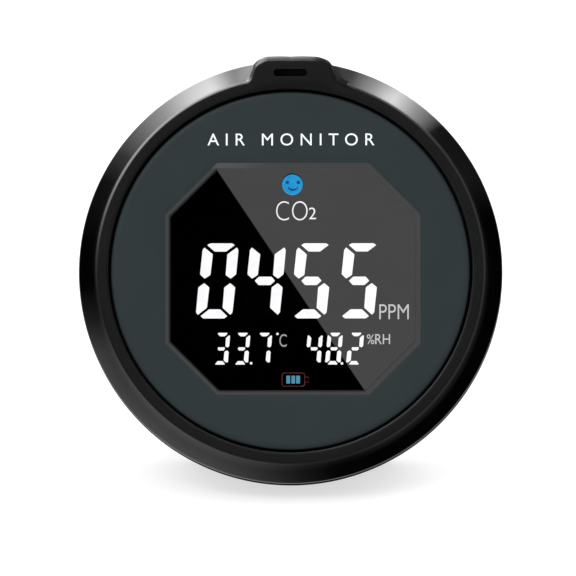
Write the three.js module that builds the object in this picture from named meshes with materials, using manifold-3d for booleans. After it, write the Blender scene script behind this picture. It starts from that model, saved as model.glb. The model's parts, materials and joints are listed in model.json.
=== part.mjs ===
// Round desk-top carbon dioxide monitor, modelled as separate pieces.
//
// Units are millimetres. The pieces are built in a case frame: X to the right
// as seen from the front, Y from the front face (-) to the back (+), Z up along
// the face, origin on the case axis at half its depth. The case then leans back
// on two rubber pads and its fold-out stand, and the whole group is placed with
// +Z up, the floor at z = 0 and the origin at the middle of its footprint box.
//
// A span is a [low, high] pair along one axis; a place is an [x, z] pair.

import * as THREE from "three";
import Module from "manifold-3d";

const wasm = await Module();
wasm.setup();

// ---------------------------------------------------------- shared dimensions
const DEG = Math.PI / 180;
const SEGMENTS = 72; // facets round the large circles

const CASE_DEPTH = 28;
const FRONT_Y = -CASE_DEPTH / 2;
const BACK_Y = CASE_DEPTH / 2;
const SPLIT_Y = -3; // joint between bezel and rear cover
const RING_INNER_R = 34.35; // outer wall of the groove round the face plate

const SCREW_X = 25;
const SCREW_Z = 19;
const SCREW_SEAT_Y = 3;
const SCREW_PLACES = [[-1, 1], [1, 1], [1, -1], [-1, -1]]
  .map(([signX, signZ]) => [signX * SCREW_X, signZ * SCREW_Z]);

const BOARD_THICK = 1.6;
const BOARD_FRONT = -4.2;
const BOARD_BACK = BOARD_FRONT + BOARD_THICK;
const BOARD_GAP = 0.1; // air between the main board and what stands on it
const ON_FRONT = BOARD_FRONT - BOARD_GAP;
const ON_BACK = BOARD_BACK + BOARD_GAP;

const LEAN = 22 * DEG; // case leans back
const LEAN_SIN = Math.sin(LEAN);
const LEAN_COS = Math.cos(LEAN);
const FLAT_DROP = 36.3; // from the case axis down to the flat under the back
const PAD_PROUD = 0.6;

const STAND_OPEN = 35 * DEG; // stand swings out of the back
const HINGE_Y = 11.9;
const HINGE_Z = 18;
const PIN_R = 1.0;

// ------------------------------------------------------------------- finishes
const FINISH = {
  bezel: { color: 0x17181a, roughness: 0.24 },
  plateTape: { color: 0xe8e4d8, roughness: 0.8 },
  facePlate: { color: 0x343c3e, roughness: 0.42 },
  lens: { color: 0x060707, roughness: 0.06 },
  mask: { color: 0x020202, roughness: 0.5 },
  smileyFilter: { color: 0x0a9fd8, roughness: 0.3 },
  batteryFilter: { color: 0x4fb4d8, roughness: 0.3 },
  diffuser: { color: 0xf2f4f5, roughness: 0.6 },
  reflector: { color: 0xf4f4f2, roughness: 0.55 },
  ledBoard: { color: 0xf0f0ea, roughness: 0.5 },
  header: { color: 0x151515, roughness: 0.5 },
  mainBoard: { color: 0x14532d, roughness: 0.45 },
  chip: { color: 0x1a1a1c, roughness: 0.5 },
  inductor: { color: 0x3a3a3c, roughness: 0.7 },
  buzzer: { color: 0x111112, roughness: 0.45 },
  humiditySensor: { color: 0xdcdcd6, roughness: 0.4 },
  sensorBoard: { color: 0x123f6e, roughness: 0.45 },
  sensorChamber: { color: 0xd8b25a, roughness: 0.28, metalness: 1 },
  membrane: { color: 0xf4f4f0, roughness: 0.8 },
  batteryTape: { color: 0xf0ece0, roughness: 0.8 },
  batteryCell: { color: 0xb9bdc2, roughness: 0.3, metalness: 0.9 },
  connector: { color: 0xf2efe6, roughness: 0.5 },
  redLead: { color: 0xb01818, roughness: 0.45 },
  blackLead: { color: 0x141414, roughness: 0.45 },
  usb: { color: 0xb8bcc0, roughness: 0.25, metalness: 1 },
  powerSwitch: { color: 0x2b2b2e, roughness: 0.5 },
  plunger: { color: 0xe6e2d6, roughness: 0.5 },
  button: { color: 0x242628, roughness: 0.4 },
  cover: { color: 0x1b1c1e, roughness: 0.5 },
  rubber: { color: 0x202122, roughness: 0.85 },
  ventMesh: { color: 0x2c2d2f, roughness: 0.7, metalness: 0.4 },
  screw: { color: 0x9a9da1, roughness: 0.3, metalness: 1 },
  stand: { color: 0x1c1d1f, roughness: 0.5 },
  pin: { color: 0xa4a7aa, roughness: 0.25, metalness: 1 },
};

// -------------------------------------------------------------- solid helpers
const vectors = (points) => points.map(([x, y]) => new THREE.Vector2(x, y));
const around = (centre, half) => [centre - half, centre + half];
const middle = ([low, high]) => (low + high) / 2;
const grow = (sizes, amount) => sizes.map((size) => size + amount);
const union = (bodies) => bodies.reduce((sum, body) => sum.add(body));
const cut = (base, cutters) => cutters.reduce((rest, cutter) => rest.subtract(cutter), base);

/** Weld a geometry's vertices, drop empty triangles, face it outwards. */
function solid(geometry) {
  const position = geometry.attributes.position;
  const corners = geometry.index ? Array.from(geometry.index.array) : [...Array(position.count).keys()];
  const seen = new Map();
  const points = [];
  const welded = [];
  for (let i = 0; i < position.count; i++) {
    const point = new THREE.Vector3().fromBufferAttribute(position, i);
    const key = point.toArray().map((c) => Math.round(c * 1e4)).join(",");
    if (!seen.has(key)) {
      seen.set(key, points.length);
      points.push(point);
    }
    welded.push(seen.get(key));
  }
  let triangles = [];
  let volume = 0;
  for (let i = 0; i < corners.length; i += 3) {
    const [a, b, c] = corners.slice(i, i + 3).map((corner) => welded[corner]);
    if (a === b || b === c || a === c) continue;
    triangles.push([a, b, c]);
    volume += points[a].dot(points[b].clone().cross(points[c])) / 6;
  }
  if (volume < 0) triangles = triangles.map(([a, b, c]) => [a, c, b]);
  return new wasm.Manifold(
    new wasm.Mesh({
      numProp: 3,
      vertProperties: new Float32Array(points.flatMap((point) => point.toArray())),
      triVerts: new Uint32Array(triangles.flat()),
    }),
  );
}

/** Solid of revolution about the case axis (Y) from [radius, y] points. */
function turned(points, segments = SEGMENTS) {
  const onAxis = points[0][0] === 0 && points.at(-1)[0] === 0;
  const loop = onAxis ? points : [...points, points[0]];
  return solid(new THREE.LatheGeometry(vectors(loop), segments));
}

/** Outline in X and Z, extruded along Y. */
function plate(outline, [y0, y1]) {
  const shape = new THREE.Shape(vectors(outline));
  const geometry = new THREE.ExtrudeGeometry(shape, { depth: y1 - y0, bevelEnabled: false });
  geometry.rotateX(Math.PI / 2);
  geometry.translate(0, y1, 0);
  return solid(geometry);
}

/** Outline in Y and Z, extruded along X. */
function profileX(outline, [x0, x1]) {
  const shape = new THREE.Shape(vectors(outline));
  const geometry = new THREE.ExtrudeGeometry(shape, { depth: x1 - x0, bevelEnabled: false });
  // shape x -> Y, shape y -> Z, depth -> X
  geometry.applyMatrix4(
    new THREE.Matrix4().set(0, 0, 1, x0, 1, 0, 0, 0, 0, 1, 0, 0, 0, 0, 0, 1),
  );
  return solid(geometry);
}

/** Box from its spans in X, Y and Z. */
function box(...spans) {
  const geometry = new THREE.BoxGeometry(...spans.map(([low, high]) => high - low));
  geometry.translate(...spans.map(middle));
  return solid(geometry);
}

/** Cylinder along Y at a place on the face. */
function rodY([x, z], radius, ySpan, segments = 24) {
  const geometry = new THREE.CylinderGeometry(radius, radius, ySpan[1] - ySpan[0], segments);
  geometry.translate(x, middle(ySpan), z);
  return solid(geometry);
}

/** Cylinder along X, centred on [y, z]. */
function rodX([y, z], radius, xSpan, segments = 24) {
  const geometry = new THREE.CylinderGeometry(radius, radius, xSpan[1] - xSpan[0], segments);
  geometry.rotateZ(Math.PI / 2);
  geometry.translate(middle(xSpan), y, z);
  return solid(geometry);
}

/** Closed body between two outlines with the same number of points. */
function loft(outlineA, yA, outlineB, yB) {
  const count = outlineA.length;
  const positions = [
    ...outlineA.flatMap(([x, z]) => [x, yA, z]),
    ...outlineB.flatMap(([x, z]) => [x, yB, z]),
  ];
  const index = [];
  for (let i = 0; i < count; i++) {
    const j = (i + 1) % count;
    index.push(i, j, count + j, i, count + j, count + i);
  }
  for (let i = 1; i < count - 1; i++) {
    index.push(0, i + 1, i);
    index.push(count, count + i, count + i + 1);
  }
  const geometry = new THREE.BufferGeometry();
  geometry.setAttribute("position", new THREE.Float32BufferAttribute(positions, 3));
  geometry.setIndex(index);
  return solid(geometry);
}

// ------------------------------------------------------------ outline helpers
/** Rounded rectangle from its centre and half sizes. */
function roundRect([cx, cz], [halfW, halfH], radius, steps = 5) {
  const outline = [];
  for (const [signX, signZ, start] of [[1, -1, -90], [1, 1, 0], [-1, 1, 90], [-1, -1, 180]]) {
    for (let i = 0; i <= steps; i++) {
      const angle = (start + (90 * i) / steps) * DEG;
      outline.push([
        cx + signX * (halfW - radius) + radius * Math.cos(angle),
        cz + signZ * (halfH - radius) + radius * Math.sin(angle),
      ]);
    }
  }
  return outline;
}

function disc([x, z], radius, count) {
  return Array.from({ length: count }, (_, i) => {
    const angle = (2 * Math.PI * i) / count;
    return [x + radius * Math.cos(angle), z + radius * Math.sin(angle)];
  });
}

/** Points on an arc about the case axis, in order of rising angle. */
function arc(radius, middleAngle, halfAngle, steps) {
  return Array.from({ length: steps + 1 }, (_, i) => {
    const angle = middleAngle - halfAngle + (2 * halfAngle * i) / steps;
    return [radius * Math.cos(angle), radius * Math.sin(angle)];
  });
}

/** Slot along an arc about the case axis, with two points rounding each end. */
function arcSlot(radius, halfWidth, middleAngle, halfAngle) {
  const steps = 6;
  const end = (sign) => [1, 2].map((i) => {
    const turn = (i / 3) * Math.PI;
    const r = radius + sign * halfWidth * Math.cos(turn);
    const angle = middleAngle + sign * halfAngle + (sign * halfWidth * Math.sin(turn)) / radius;
    return [r * Math.cos(angle), r * Math.sin(angle)];
  });
  return [
    ...arc(radius + halfWidth, middleAngle, halfAngle, steps),
    ...end(1),
    ...arc(radius - halfWidth, middleAngle, halfAngle, steps).reverse(),
    ...end(-1),
  ];
}

// --------------------------------------------------------------- front bezel
const CASE_R = 40;
const RING_FLAT_R = 36.6; // flat front ring turns into the sloped rim here
const RIM_BACK = FRONT_Y + 4.4; // where the sloped rim ends
const BEZEL_INNER_R = 37.4;
const SEAT_R = 30; // inner edge of the face plate's seat
const SEAT_FRONT = -11.8;
const SEAT_BACK = SEAT_FRONT + 1.6;
const BEZEL_PROFILE = [ // radius, y
  [RING_INNER_R, FRONT_Y + 0.35], [RING_INNER_R + 0.3, FRONT_Y],
  [RING_FLAT_R - 0.45, FRONT_Y], [RING_FLAT_R + 0.1, FRONT_Y + 0.15],
  [RING_FLAT_R + 0.56, FRONT_Y + 0.6],
  [CASE_R - 0.14, RIM_BACK - 0.25], [CASE_R, RIM_BACK + 0.4],
  [CASE_R, SPLIT_Y - 0.4], [CASE_R - 0.35, SPLIT_Y],
  [BEZEL_INNER_R, SPLIT_Y], [BEZEL_INNER_R, SEAT_BACK], [SEAT_R, SEAT_BACK],
  [SEAT_R, SEAT_FRONT], [RING_INNER_R, SEAT_FRONT],
];

const TAB_TOP = 40.8;
const TAB_BOTTOM = 33;
const TAB_BACK = -6.5;
const TAB_BEVEL = 0.8;
const TAB_EDGE = [ // x, z of the hanging tab's right edge, upwards
  [9.8, 35.4], [8.7, 36.4], [8.15, 37.6], [7.6, 39.1], [6.9, 39.95], [6.1, 40.5], [4.7, TAB_TOP],
];
const STRAP_HALF = 3.15; // half the length of the strap slot
const STRAP_Z = [36.9, 38.3];
const STRAP_BACK = -9.5;

function hangingTab() {
  const halfBase = TAB_EDGE[0][0];
  const leftEdge = [...TAB_EDGE].reverse().map(([x, z]) => [-x, z]);
  const outline = [[-halfBase, TAB_BOTTOM], [halfBase, TAB_BOTTOM], ...TAB_EDGE, ...leftEdge];
  const geometry = new THREE.ExtrudeGeometry(new THREE.Shape(vectors(outline)), {
    depth: TAB_BACK - FRONT_Y - 2 * TAB_BEVEL,
    bevelEnabled: true,
    bevelThickness: TAB_BEVEL,
    bevelSize: TAB_BEVEL,
    bevelOffset: -TAB_BEVEL,
    bevelSegments: 1,
  });
  geometry.rotateX(Math.PI / 2);
  geometry.translate(0, TAB_BACK - TAB_BEVEL, 0);
  return solid(geometry).subtract(rodY([0, 0], RING_INNER_R, [-20, 0], SEGMENTS));
}

/** Short radial rib between a screw boss and the bezel wall. */
function bossRib([x, z]) {
  const angle = Math.atan2(z, x);
  const inner = 32.5;
  const outer = BEZEL_INNER_R + 0.8;
  const half = 0.6;
  const outline = [[inner, -half], [outer, -half], [outer, half], [inner, half]].map(([r, t]) => [
    r * Math.cos(angle) - t * Math.sin(angle),
    r * Math.sin(angle) + t * Math.cos(angle),
  ]);
  return plate(outline, [-11, -6.6]);
}

function frontBezel() {
  const bosses = SCREW_PLACES.map((place) => rodY(place, 2.6, [-11, ON_FRONT], 20));
  const screwHoles = SCREW_PLACES.map((place) => rodY(place, 1.05, [-10.6, BOARD_FRONT + 1], 16));
  const slotHalf = [STRAP_HALF, (STRAP_Z[1] - STRAP_Z[0]) / 2];
  const slot = plate(roundRect([0, middle(STRAP_Z)], slotHalf, 0.65, 4), [FRONT_Y - 1, STRAP_BACK]);
  // leads from the slot up through the top of the tab
  const channel = box(around(0, STRAP_HALF), [-11.3, STRAP_BACK], [STRAP_Z[0], TAB_TOP + 1]);
  const body = union([
    turned(BEZEL_PROFILE), hangingTab(), ...bosses, ...SCREW_PLACES.map(bossRib),
  ]);
  return cut(body, [slot, channel, ...screwHoles]);
}

// ------------------------------------------------------ face plate and window
const PLATE_R = RING_INNER_R - 0.5;
const PLATE_FRONT = -13.7;
const PLATE_BACK = PLATE_FRONT + 1.6;
const PLATE_CHAMFER = 0.45;
const WINDOW_X = 0.48; // window centre on the face
const WINDOW_Z = -1.56;
const WINDOW_W = 23.98; // half width of the opening at the plate's front
const WINDOW_H = 21.85; // half height
const WINDOW_CUT = 9.72; // corner cut along each side
const BEVEL = 0.9; // width of the sloped edge
const BEVEL_BACK = PLATE_FRONT + 0.6;

/** The octagonal window outline moved inwards on every side (outwards if negative). */
function windowInset(distance) {
  const w = WINDOW_W - distance;
  const h = WINDOW_H - distance;
  const corner = WINDOW_CUT - distance * (2 - Math.SQRT2);
  return [
    [-w + corner, -h], [w - corner, -h], [w, -h + corner], [w, h - corner],
    [w - corner, h], [-w + corner, h], [-w, h - corner], [-w, -h + corner],
  ].map(([x, z]) => [WINDOW_X + x, WINDOW_Z + z]);
}

function facePlateTape() {
  const [inner, outer, front, back] = [30.6, 33.2, -12.02, -11.9];
  return turned([[inner, front], [outer, front], [outer, back], [inner, back]], 40);
}

function facePlate() {
  const body = turned([
    [0, PLATE_FRONT], [PLATE_R - PLATE_CHAMFER, PLATE_FRONT],
    [PLATE_R, PLATE_FRONT + PLATE_CHAMFER], [PLATE_R, PLATE_BACK], [0, PLATE_BACK],
  ]);
  // the sloped cutter starts just wide and in front of the plate, to cut it cleanly
  const slope = loft(windowInset(-0.0283), PLATE_FRONT - 0.02, windowInset(BEVEL), BEVEL_BACK);
  const through = plate(windowInset(BEVEL), [PLATE_FRONT - 1, PLATE_BACK + 1]);
  return cut(body, [slope, through]);
}

function windowLens() {
  const plug = plate(windowInset(BEVEL + 0.08), [BEVEL_BACK, PLATE_BACK + 0.2]);
  const flange = plate(windowInset(-1.2), [PLATE_BACK + 0.12, -11.45]);
  return plug.add(flange);
}

// -------------------------------------------------------------------- display
const MASK_Y = [-11.3, -10.5];
const MASK_CUT_Y = [-12, -10];
const SLANT = 0.095; // sideways shift of the digits per unit of height
const BIG_X = [-13.82, -4.9, 4.03, 12.95]; // digit centres
const BIG_Z = -1.85;
const SMALL_X = [-12.95, -9.19, -4.97, 4.57, 8.35, 12.25];
const SMALL_Z = -14.75;
const SMALL_SCALE = 0.442; // small digits against big ones
const DOT_PLACES = [[-7.35, -17.43], [9.88, -17.43]];
const SMILEY = [0.45, 16.33];
const SMILEY_R = 2.0;
const BATTERY_ICON = [0.55, -20.4];
const BATTERY_ICON_HALF = [2.75, 1.3];
const ICON_GAP = 0.15; // between an icon filter and its hole in the mask

// outlines of single digit segments: x, z from the digit's centre
const UPPER_LEFT = [[-3.45, 5.75], [-3.05, 6.42], [-1.2, 4.9], [-1.2, 1.0], [-2.42, 0.2], [-3.5, 1.15]];
const TOP = [[-2.7, 6.73], [-2.0, 7.22], [2.0, 7.22], [2.7, 6.73], [1.15, 5.38], [-1.15, 5.38]];
const CENTRE = [[-2.0, 0], [-1.1, 0.9], [1.1, 0.9], [2.0, 0], [1.1, -0.9], [-1.1, -0.9]];
const flip = (outline, signX, signZ) => outline.map(([x, z]) => [x * signX, z * signZ]);
const DIGIT = [
  TOP, flip(UPPER_LEFT, -1, 1), flip(UPPER_LEFT, -1, -1), flip(TOP, 1, -1),
  flip(UPPER_LEFT, 1, -1), UPPER_LEFT, CENTRE,
];

function digitWindows(cx, cz, scale) {
  return DIGIT.map((segment) =>
    segment.map(([x, z]) => [cx + scale * (x + SLANT * z), cz + scale * z]));
}

function displayMask() {
  const holes = [
    ...BIG_X.flatMap((x) => digitWindows(x, BIG_Z, 1)),
    ...SMALL_X.flatMap((x) => digitWindows(x, SMALL_Z, SMALL_SCALE)),
    ...DOT_PLACES.map((place) => disc(place, 0.32, 10)),
    disc(SMILEY, SMILEY_R + ICON_GAP, 28),
    roundRect(BATTERY_ICON, grow(BATTERY_ICON_HALF, ICON_GAP), 0.4, 2),
  ];
  return cut(plate(windowInset(-1.1), MASK_Y), holes.map((hole) => plate(hole, MASK_CUT_Y)));
}

const smileyFilter = () => plate(disc(SMILEY, SMILEY_R, 28), MASK_Y);
const batteryFilter = () => plate(roundRect(BATTERY_ICON, BATTERY_ICON_HALF, 0.35, 2), MASK_Y);
const segmentDiffuser = () => plate(windowInset(-0.9), [-10.35, -9.95]);

function displayReflector() {
  const cutY = [-10, -6];
  const cells = [
    ...BIG_X.map((x) => box(around(x, 4.15), cutY, [-9.9, 6.1])),
    ...SMALL_X.map((x) => box(around(x, 1.6), cutY, [-18.3, -11.2])),
    plate(disc(SMILEY, 2.4, 20), cutY),
    // wide cell between the smiley and the big digits
    plate(roundRect([0.55, 11.3], [4.6, 1.7], 0.4, 2), cutY),
    plate(roundRect(BATTERY_ICON, [3.2, 1.2], 0.4, 2), cutY),
  ];
  return cut(plate(windowInset(0.4), [-9.8, -6.6]), cells);
}

const ledBoard = () => plate(windowInset(0.2), [-6.5, -5.5]);
const displayHeader = () => box(around(0, 14), [-5.4, ON_FRONT], [15, 17.5]);

// ----------------------------------------------------------------- main board
const CHIP_FRONT_Y = [-5.3, ON_FRONT]; // chips on the front of the board
const CHIPS = [ // name, x span, y span, z span
  ["controller_chip", [-3.5, 3.5], CHIP_FRONT_Y, [-13.5, -6.5]],
  ["display_driver_chip", [-5, 5], CHIP_FRONT_Y, [3, 8]],
  ["charger_chip", [-28, -24], [ON_BACK, -1.6], [-12.5, -8.5]],
];
const BUZZER = [-25.5, 9.5];
const HUMIDITY = [25.5, 8.5];

function mainBoard() {
  const radius = 34.8;
  const profile = [[0, BOARD_FRONT], [radius, BOARD_FRONT], [radius, BOARD_BACK], [0, BOARD_BACK]];
  return cut(turned(profile, 56), SCREW_PLACES.map((place) => rodY(place, 1.2, [-6, 0], 16)));
}

const powerInductor = () => plate(roundRect([-26, -4], [2, 2], 0.5, 3), [ON_BACK, -0.5]);

function buzzer() {
  const body = rodY(BUZZER, 4.5, [ON_BACK, 1.5], 32);
  return body.subtract(rodY(BUZZER, 1.0, [-0.5, 3], 16));
}

function humiditySensor() {
  const [x, z] = HUMIDITY;
  const body = box(around(x, 1.5), [ON_BACK, -1.5], around(z, 1.5));
  return body.subtract(rodY(HUMIDITY, 0.6, [-1.9, 0], 16));
}

// ----------------------------------------------------------------- CO2 sensor
const SENSOR = [0, 14.5]; // centre on the face
const CHAMBER_HALF = [14.5, 8.6];
const LID_STEP = 1.3; // lid is smaller than the chamber by this all round
const POCKET_HALF = [9.2, 5.2];
const PORT_X = [-6, -2, 2, 6];

const sensorHeader = () => box([-15.5, -13], [ON_BACK, -1.72], around(SENSOR[1], 9));
const sensorBoard = () => box(around(SENSOR[0], 16.5), [-1.6, -0.6], around(SENSOR[1], 10));

function sensorChamber() {
  const body = plate(roundRect(SENSOR, CHAMBER_HALF, 3, 4), [-0.48, 5.4]);
  const lid = plate(roundRect(SENSOR, grow(CHAMBER_HALF, -LID_STEP), 2.4, 4), [5, 6]);
  const pocket = plate(roundRect(SENSOR, POCKET_HALF, 1.5, 4), [5.5, 7]);
  const ports = PORT_X.map((x) => rodY([x, SENSOR[1]], 1.1, [1.2, 7], 16));
  return cut(body.add(lid), [pocket, ...ports]);
}

function sensorMembrane() {
  return plate(roundRect(SENSOR, grow(POCKET_HALF, -0.2), 1.4, 4), [5.6, 5.95]);
}

// -------------------------------------------------------------------- battery
const CELL_X = [-20, 20];
const CELL_Y = [-2.25, 6.75];
const CELL_Z = [-24.6, -0.4]; // between the chamfered edges
const CHAMFER_Y = 1;
const CHAMFER_Z = 0.8;
const LEAD_R = 0.55;
const RED_LEAD = [ // x, y, z along the lead, from the cell to the connector
  [20.3, 2.6, -10.5], [21.6, 2.3, -11.2], [22.7, 1.0, -12.7], [24.0, -0.2, -13.9],
  [25.5, -0.75, -13.9], [26.0, -0.75, -12.5], [26.0, -0.75, -9.6],
];
const BLACK_LEAD = [
  [20.3, 4.6, -7.5], [21.8, 4.8, -8.0], [23.6, 4.3, -10.2], [25.6, 3.2, -12.8],
  [27.2, 1.2, -14.4], [27.75, -0.5, -13.7], [27.75, -0.75, -12.2], [27.75, -0.75, -9.6],
];

const batteryTape = () => box(around(0, 16), [ON_BACK, -2.35], [-22, -3]);

function batteryCell() {
  const [front, back] = CELL_Y;
  const [low, high] = CELL_Z;
  const upperEdge = [
    [back - CHAMFER_Y, high + CHAMFER_Z], [back, high],
    [front, high], [front + CHAMFER_Y, high + CHAMFER_Z],
  ];
  const lowerEdge = [
    [back, low], [back - CHAMFER_Y, low - CHAMFER_Z],
    [front + CHAMFER_Y, low - CHAMFER_Z], [front, low],
  ];
  return union([
    box(CELL_X, CELL_Y, CELL_Z), profileX(upperEdge, CELL_X), profileX(lowerEdge, CELL_X),
  ]);
}

function batteryConnector() {
  const body = box([24.6, 29.2], [ON_BACK, 0.9], [-13, -7]);
  const throat = box([25.4, 28.4], [-1.6, 0.1], [-14, -8.6]); // open downwards
  return body.subtract(throat);
}

function batteryLead(points) {
  const places = points.map((point) => new THREE.Vector3(...point));
  const path = new THREE.CatmullRomCurve3(places, false, "centripetal");
  const section = new THREE.Shape(vectors(disc([0, 0], LEAD_R, 8)));
  const options = { steps: 14, extrudePath: path, bevelEnabled: false };
  return solid(new THREE.ExtrudeGeometry(section, options));
}

// ------------------------------------------------- USB port, in the left side
const USB = [-0.87, -2]; // centre in y, z
const USB_HALF = [1.6, 4.5];
const USB_WALL = 0.3;

function usbReceptacle() {
  const shell = profileX(roundRect(USB, USB_HALF, 1.45), [-38, -30.7]);
  const mouth = profileX(roundRect(USB, grow(USB_HALF, -USB_WALL), 1.2), [-39, -31.6]);
  const tongue = box([-37.2, -31], [-1.2, -0.55], around(USB[1], 3.4));
  return shell.subtract(mouth).add(tongue);
}

// ------------------------------------ power switch and button, on the right side
const PLUNGER = [0.2, 0]; // centre in y, z
const BUTTON = [0.8, 0];
const BUTTON_HALF = [1.9, 5.9];

function powerSwitch() {
  const body = box([29.4, 33.2], [ON_BACK, 1.9], around(0, 3.2));
  return body.subtract(rodX(PLUNGER, 1.05, [32.25, 34], 16));
}

const switchPlunger = () => rodX(PLUNGER, 0.85, [32.9, 34.75], 16);

function powerButton() {
  const cap = profileX(roundRect(BUTTON, BUTTON_HALF, 1.85, 6), [35.4, 39.45]);
  const crown = profileX(roundRect(BUTTON, grow(BUTTON_HALF, -0.35), 1.5, 6), [39.2, 39.75]);
  const flange = profileX(roundRect(BUTTON, [2.5, 6.9], 2), [34.9, 35.6]);
  return union([cap, crown, flange]);
}

// ---------------------------------------------------------------- rubber pads
const PAD_X = 9.3;
const PAD_Y = 8.2;
const PAD_R = 2.4;

/** Disc square to the flat under the back; depths run outwards from the flat. */
function padBody(side, radius, [inner, outer]) {
  const geometry = new THREE.CylinderGeometry(radius, radius, outer - inner, 28);
  geometry.translate(0, -(inner + outer) / 2, 0);
  geometry.rotateX(Math.PI / 2 + LEAN); // cylinder axis to the flat's normal
  geometry.translate(side * PAD_X, PAD_Y, (-FLAT_DROP + PAD_Y * LEAN_SIN) / LEAN_COS);
  return solid(geometry);
}

const footPad = (side) => padBody(side, PAD_R, [-0.85, PAD_PROUD]);

// ----------------------------------------------------------------- rear cover
const COVER_R_FRONT = 39.2;
const COVER_R_BACK = 38.4;
const COVER_INNER_R = 36.6;
const BACK_WALL = 1.8;
const INNER_BACK = BACK_Y - BACK_WALL;
const COVER_PROFILE = [ // radius, y
  [0, SPLIT_Y + 0.1], [COVER_R_FRONT - 0.3, SPLIT_Y + 0.1], [COVER_R_FRONT, SPLIT_Y + 0.4],
  [COVER_R_BACK, BACK_Y - 2.2], [COVER_R_BACK - 0.35, BACK_Y - 1.1],
  [COVER_R_BACK - 1.1, BACK_Y - 0.3], [COVER_R_BACK - 2.1, BACK_Y], [0, BACK_Y],
];
const TONGUE_R = [35.6, 37.15]; // ring that slides inside the bezel
const HOLLOW_PROFILE = [ // radius, y
  [0, SPLIT_Y - 1], [TONGUE_R[0], SPLIT_Y - 1], [TONGUE_R[0], -1.6], [COVER_INNER_R, -0.6],
  [COVER_INNER_R, INNER_BACK - 1.6], [COVER_INNER_R - 1.6, INNER_BACK], [0, INNER_BACK],
];
const SLOT_RADII = [20, 23, 26, 29, 32];
const VENT_SIDES = { right: 0, left: Math.PI }; // middle angle of each vent

/** Everything on the upper side of the plane this far below the case axis, after leaning. */
function aboveFlat(drop) {
  const far = 120;
  const outline = [[-far, -drop], [far, -drop], [far, far - drop], [-far, far - drop]]
    .map(([along, up]) => [
      along * LEAN_COS - up * LEAN_SIN,
      along * LEAN_SIN + up * LEAN_COS,
    ]);
  return profileX(outline, [-far, far]);
}

/** Walls behind the leg recess and finger scoop, and the block for the hinge. */
function standHousing() {
  return union([
    box(around(0, 14), [9.6, 13.5], [-40, 16.5]),
    box(around(0, 18), [9.6, 13.5], [-33.4, -21.5]),
    box(around(0, 16.2), [8.2, 13.5], [13.8, 24]),
  ]);
}

function standCutters() {
  const recessX = around(0, 12.5);
  return [
    // leg recess, open towards the flat under the back
    box(recessX, [11.2, 20], [-40, 16.2]),
    // hinge pocket, and the ledge above it that stops the heel
    box(recessX, [9.65, 20], [15.7, 19.4]),
    box(recessX, [10.1, 20], [19.3, 22.3]),
    // pin hole
    rodX([HINGE_Y, HINGE_Z], PIN_R + 0.12, [-15.1, 17], 20),
    // finger scoop across the leg's foot
    rodX([16.6, -27.5], 4.4, [-16.5, 16.5]),
  ];
}

/** Charging port and button openings in the side wall. */
function sideCutters() {
  return [
    profileX(roundRect(USB, grow(USB_HALF, 0.25), 1.6), [-45, -34.8]),
    profileX(roundRect(BUTTON, grow(BUTTON_HALF, 0.2), 2, 6), [35.9, 45]),
    // room for the button's flange
    box([33, 36], around(BUTTON[0], 2.8), around(BUTTON[1], 7.3)),
  ];
}

function rearCover() {
  const flatCut = turned(COVER_PROFILE).intersect(aboveFlat(FLAT_DROP));
  const hollow = turned(HOLLOW_PROFILE, 56).intersect(aboveFlat(FLAT_DROP - 1.9));
  const [tongueIn, tongueOut] = TONGUE_R;
  const tongue = turned([
    [tongueIn, -6], [tongueOut, -6], [tongueOut, SPLIT_Y + 0.5], [tongueIn, SPLIT_Y + 0.5],
  ]);
  const body = union([
    flatCut.subtract(hollow).add(tongue),
    standHousing().intersect(flatCut),
    ...SCREW_PLACES.map((place) => rodY(place, 3.3, [ON_BACK, 13])),
  ]);
  return cut(body, [
    ...standCutters(),
    ...SCREW_PLACES.flatMap((place) => [
      rodY(place, 2.25, [SCREW_SEAT_Y, 20]), // head recess
      rodY(place, 1.15, [-8, 20], 16), // shank hole
    ]),
    ...Object.values(VENT_SIDES).flatMap((angle) =>
      SLOT_RADII.map((radius) => plate(arcSlot(radius, 0.7, angle, 24 * DEG), [10, 20]))),
    ...sideCutters(),
    ...[-1, 1].map((side) => padBody(side, PAD_R + 0.12, [-1, 3])),
  ]);
}

/** Dust mesh sector behind one set of vent slots. */
function ventMesh(angle) {
  const outer = arc(33.4, angle, 28 * DEG, 12);
  const inner = arc(18.8, angle, 28 * DEG, 12).reverse();
  return plate([...outer, ...inner], [11.8, 12.08]);
}

// ---------------------------------------------------------------- case screws
/** Cross-head screw on the case axis; each mesh is moved to its place. */
function caseScrew() {
  const head = turned([
    [0, SCREW_SEAT_Y + 0.12], [1.85, SCREW_SEAT_Y + 0.12], [1.9, SCREW_SEAT_Y + 0.4],
    [1.55, SCREW_SEAT_Y + 1.25], [0, SCREW_SEAT_Y + 1.45],
  ], 16);
  const shank = turned([
    [0, -9.2], [0.4, -9.2], [0.92, -8.4], [0.92, SCREW_SEAT_Y + 0.5], [0, SCREW_SEAT_Y + 0.5],
  ], 12);
  const long = around(0, 1.1);
  const narrow = around(0, 0.22);
  const slotY = [SCREW_SEAT_Y + 0.9, 6];
  return cut(head.add(shank), [box(long, slotY, narrow), box(narrow, slotY, long)]);
}

// ---------------------------------------------------------------------- stand
// The leg is built with the hinge axis as origin, hanging straight down.
const STAND_HALF = 12.2;
const LEG_IN = -0.4; // y of the leg's faces
const LEG_OUT = 1.8;
const KNUCKLE_R = 2.0;
const HEEL_Y = -1.66; // heel face from the hinge, in the case frame with the stand open
const HEEL_Z = [1.25, 3.15];
const FOOT_NARROWING = 1.4;

/** Height of the leg's end at a given y, so that the foot lies flat on the floor. */
function footAt(y) {
  const swing = STAND_OPEN - LEAN; // leg's slope from upright
  const hingeHeight = FLAT_DROP + PAD_PROUD + (-HINGE_Y * LEAN_SIN + HINGE_Z * LEAN_COS);
  return -(hingeHeight + y * Math.sin(swing)) / Math.cos(swing);
}

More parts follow.
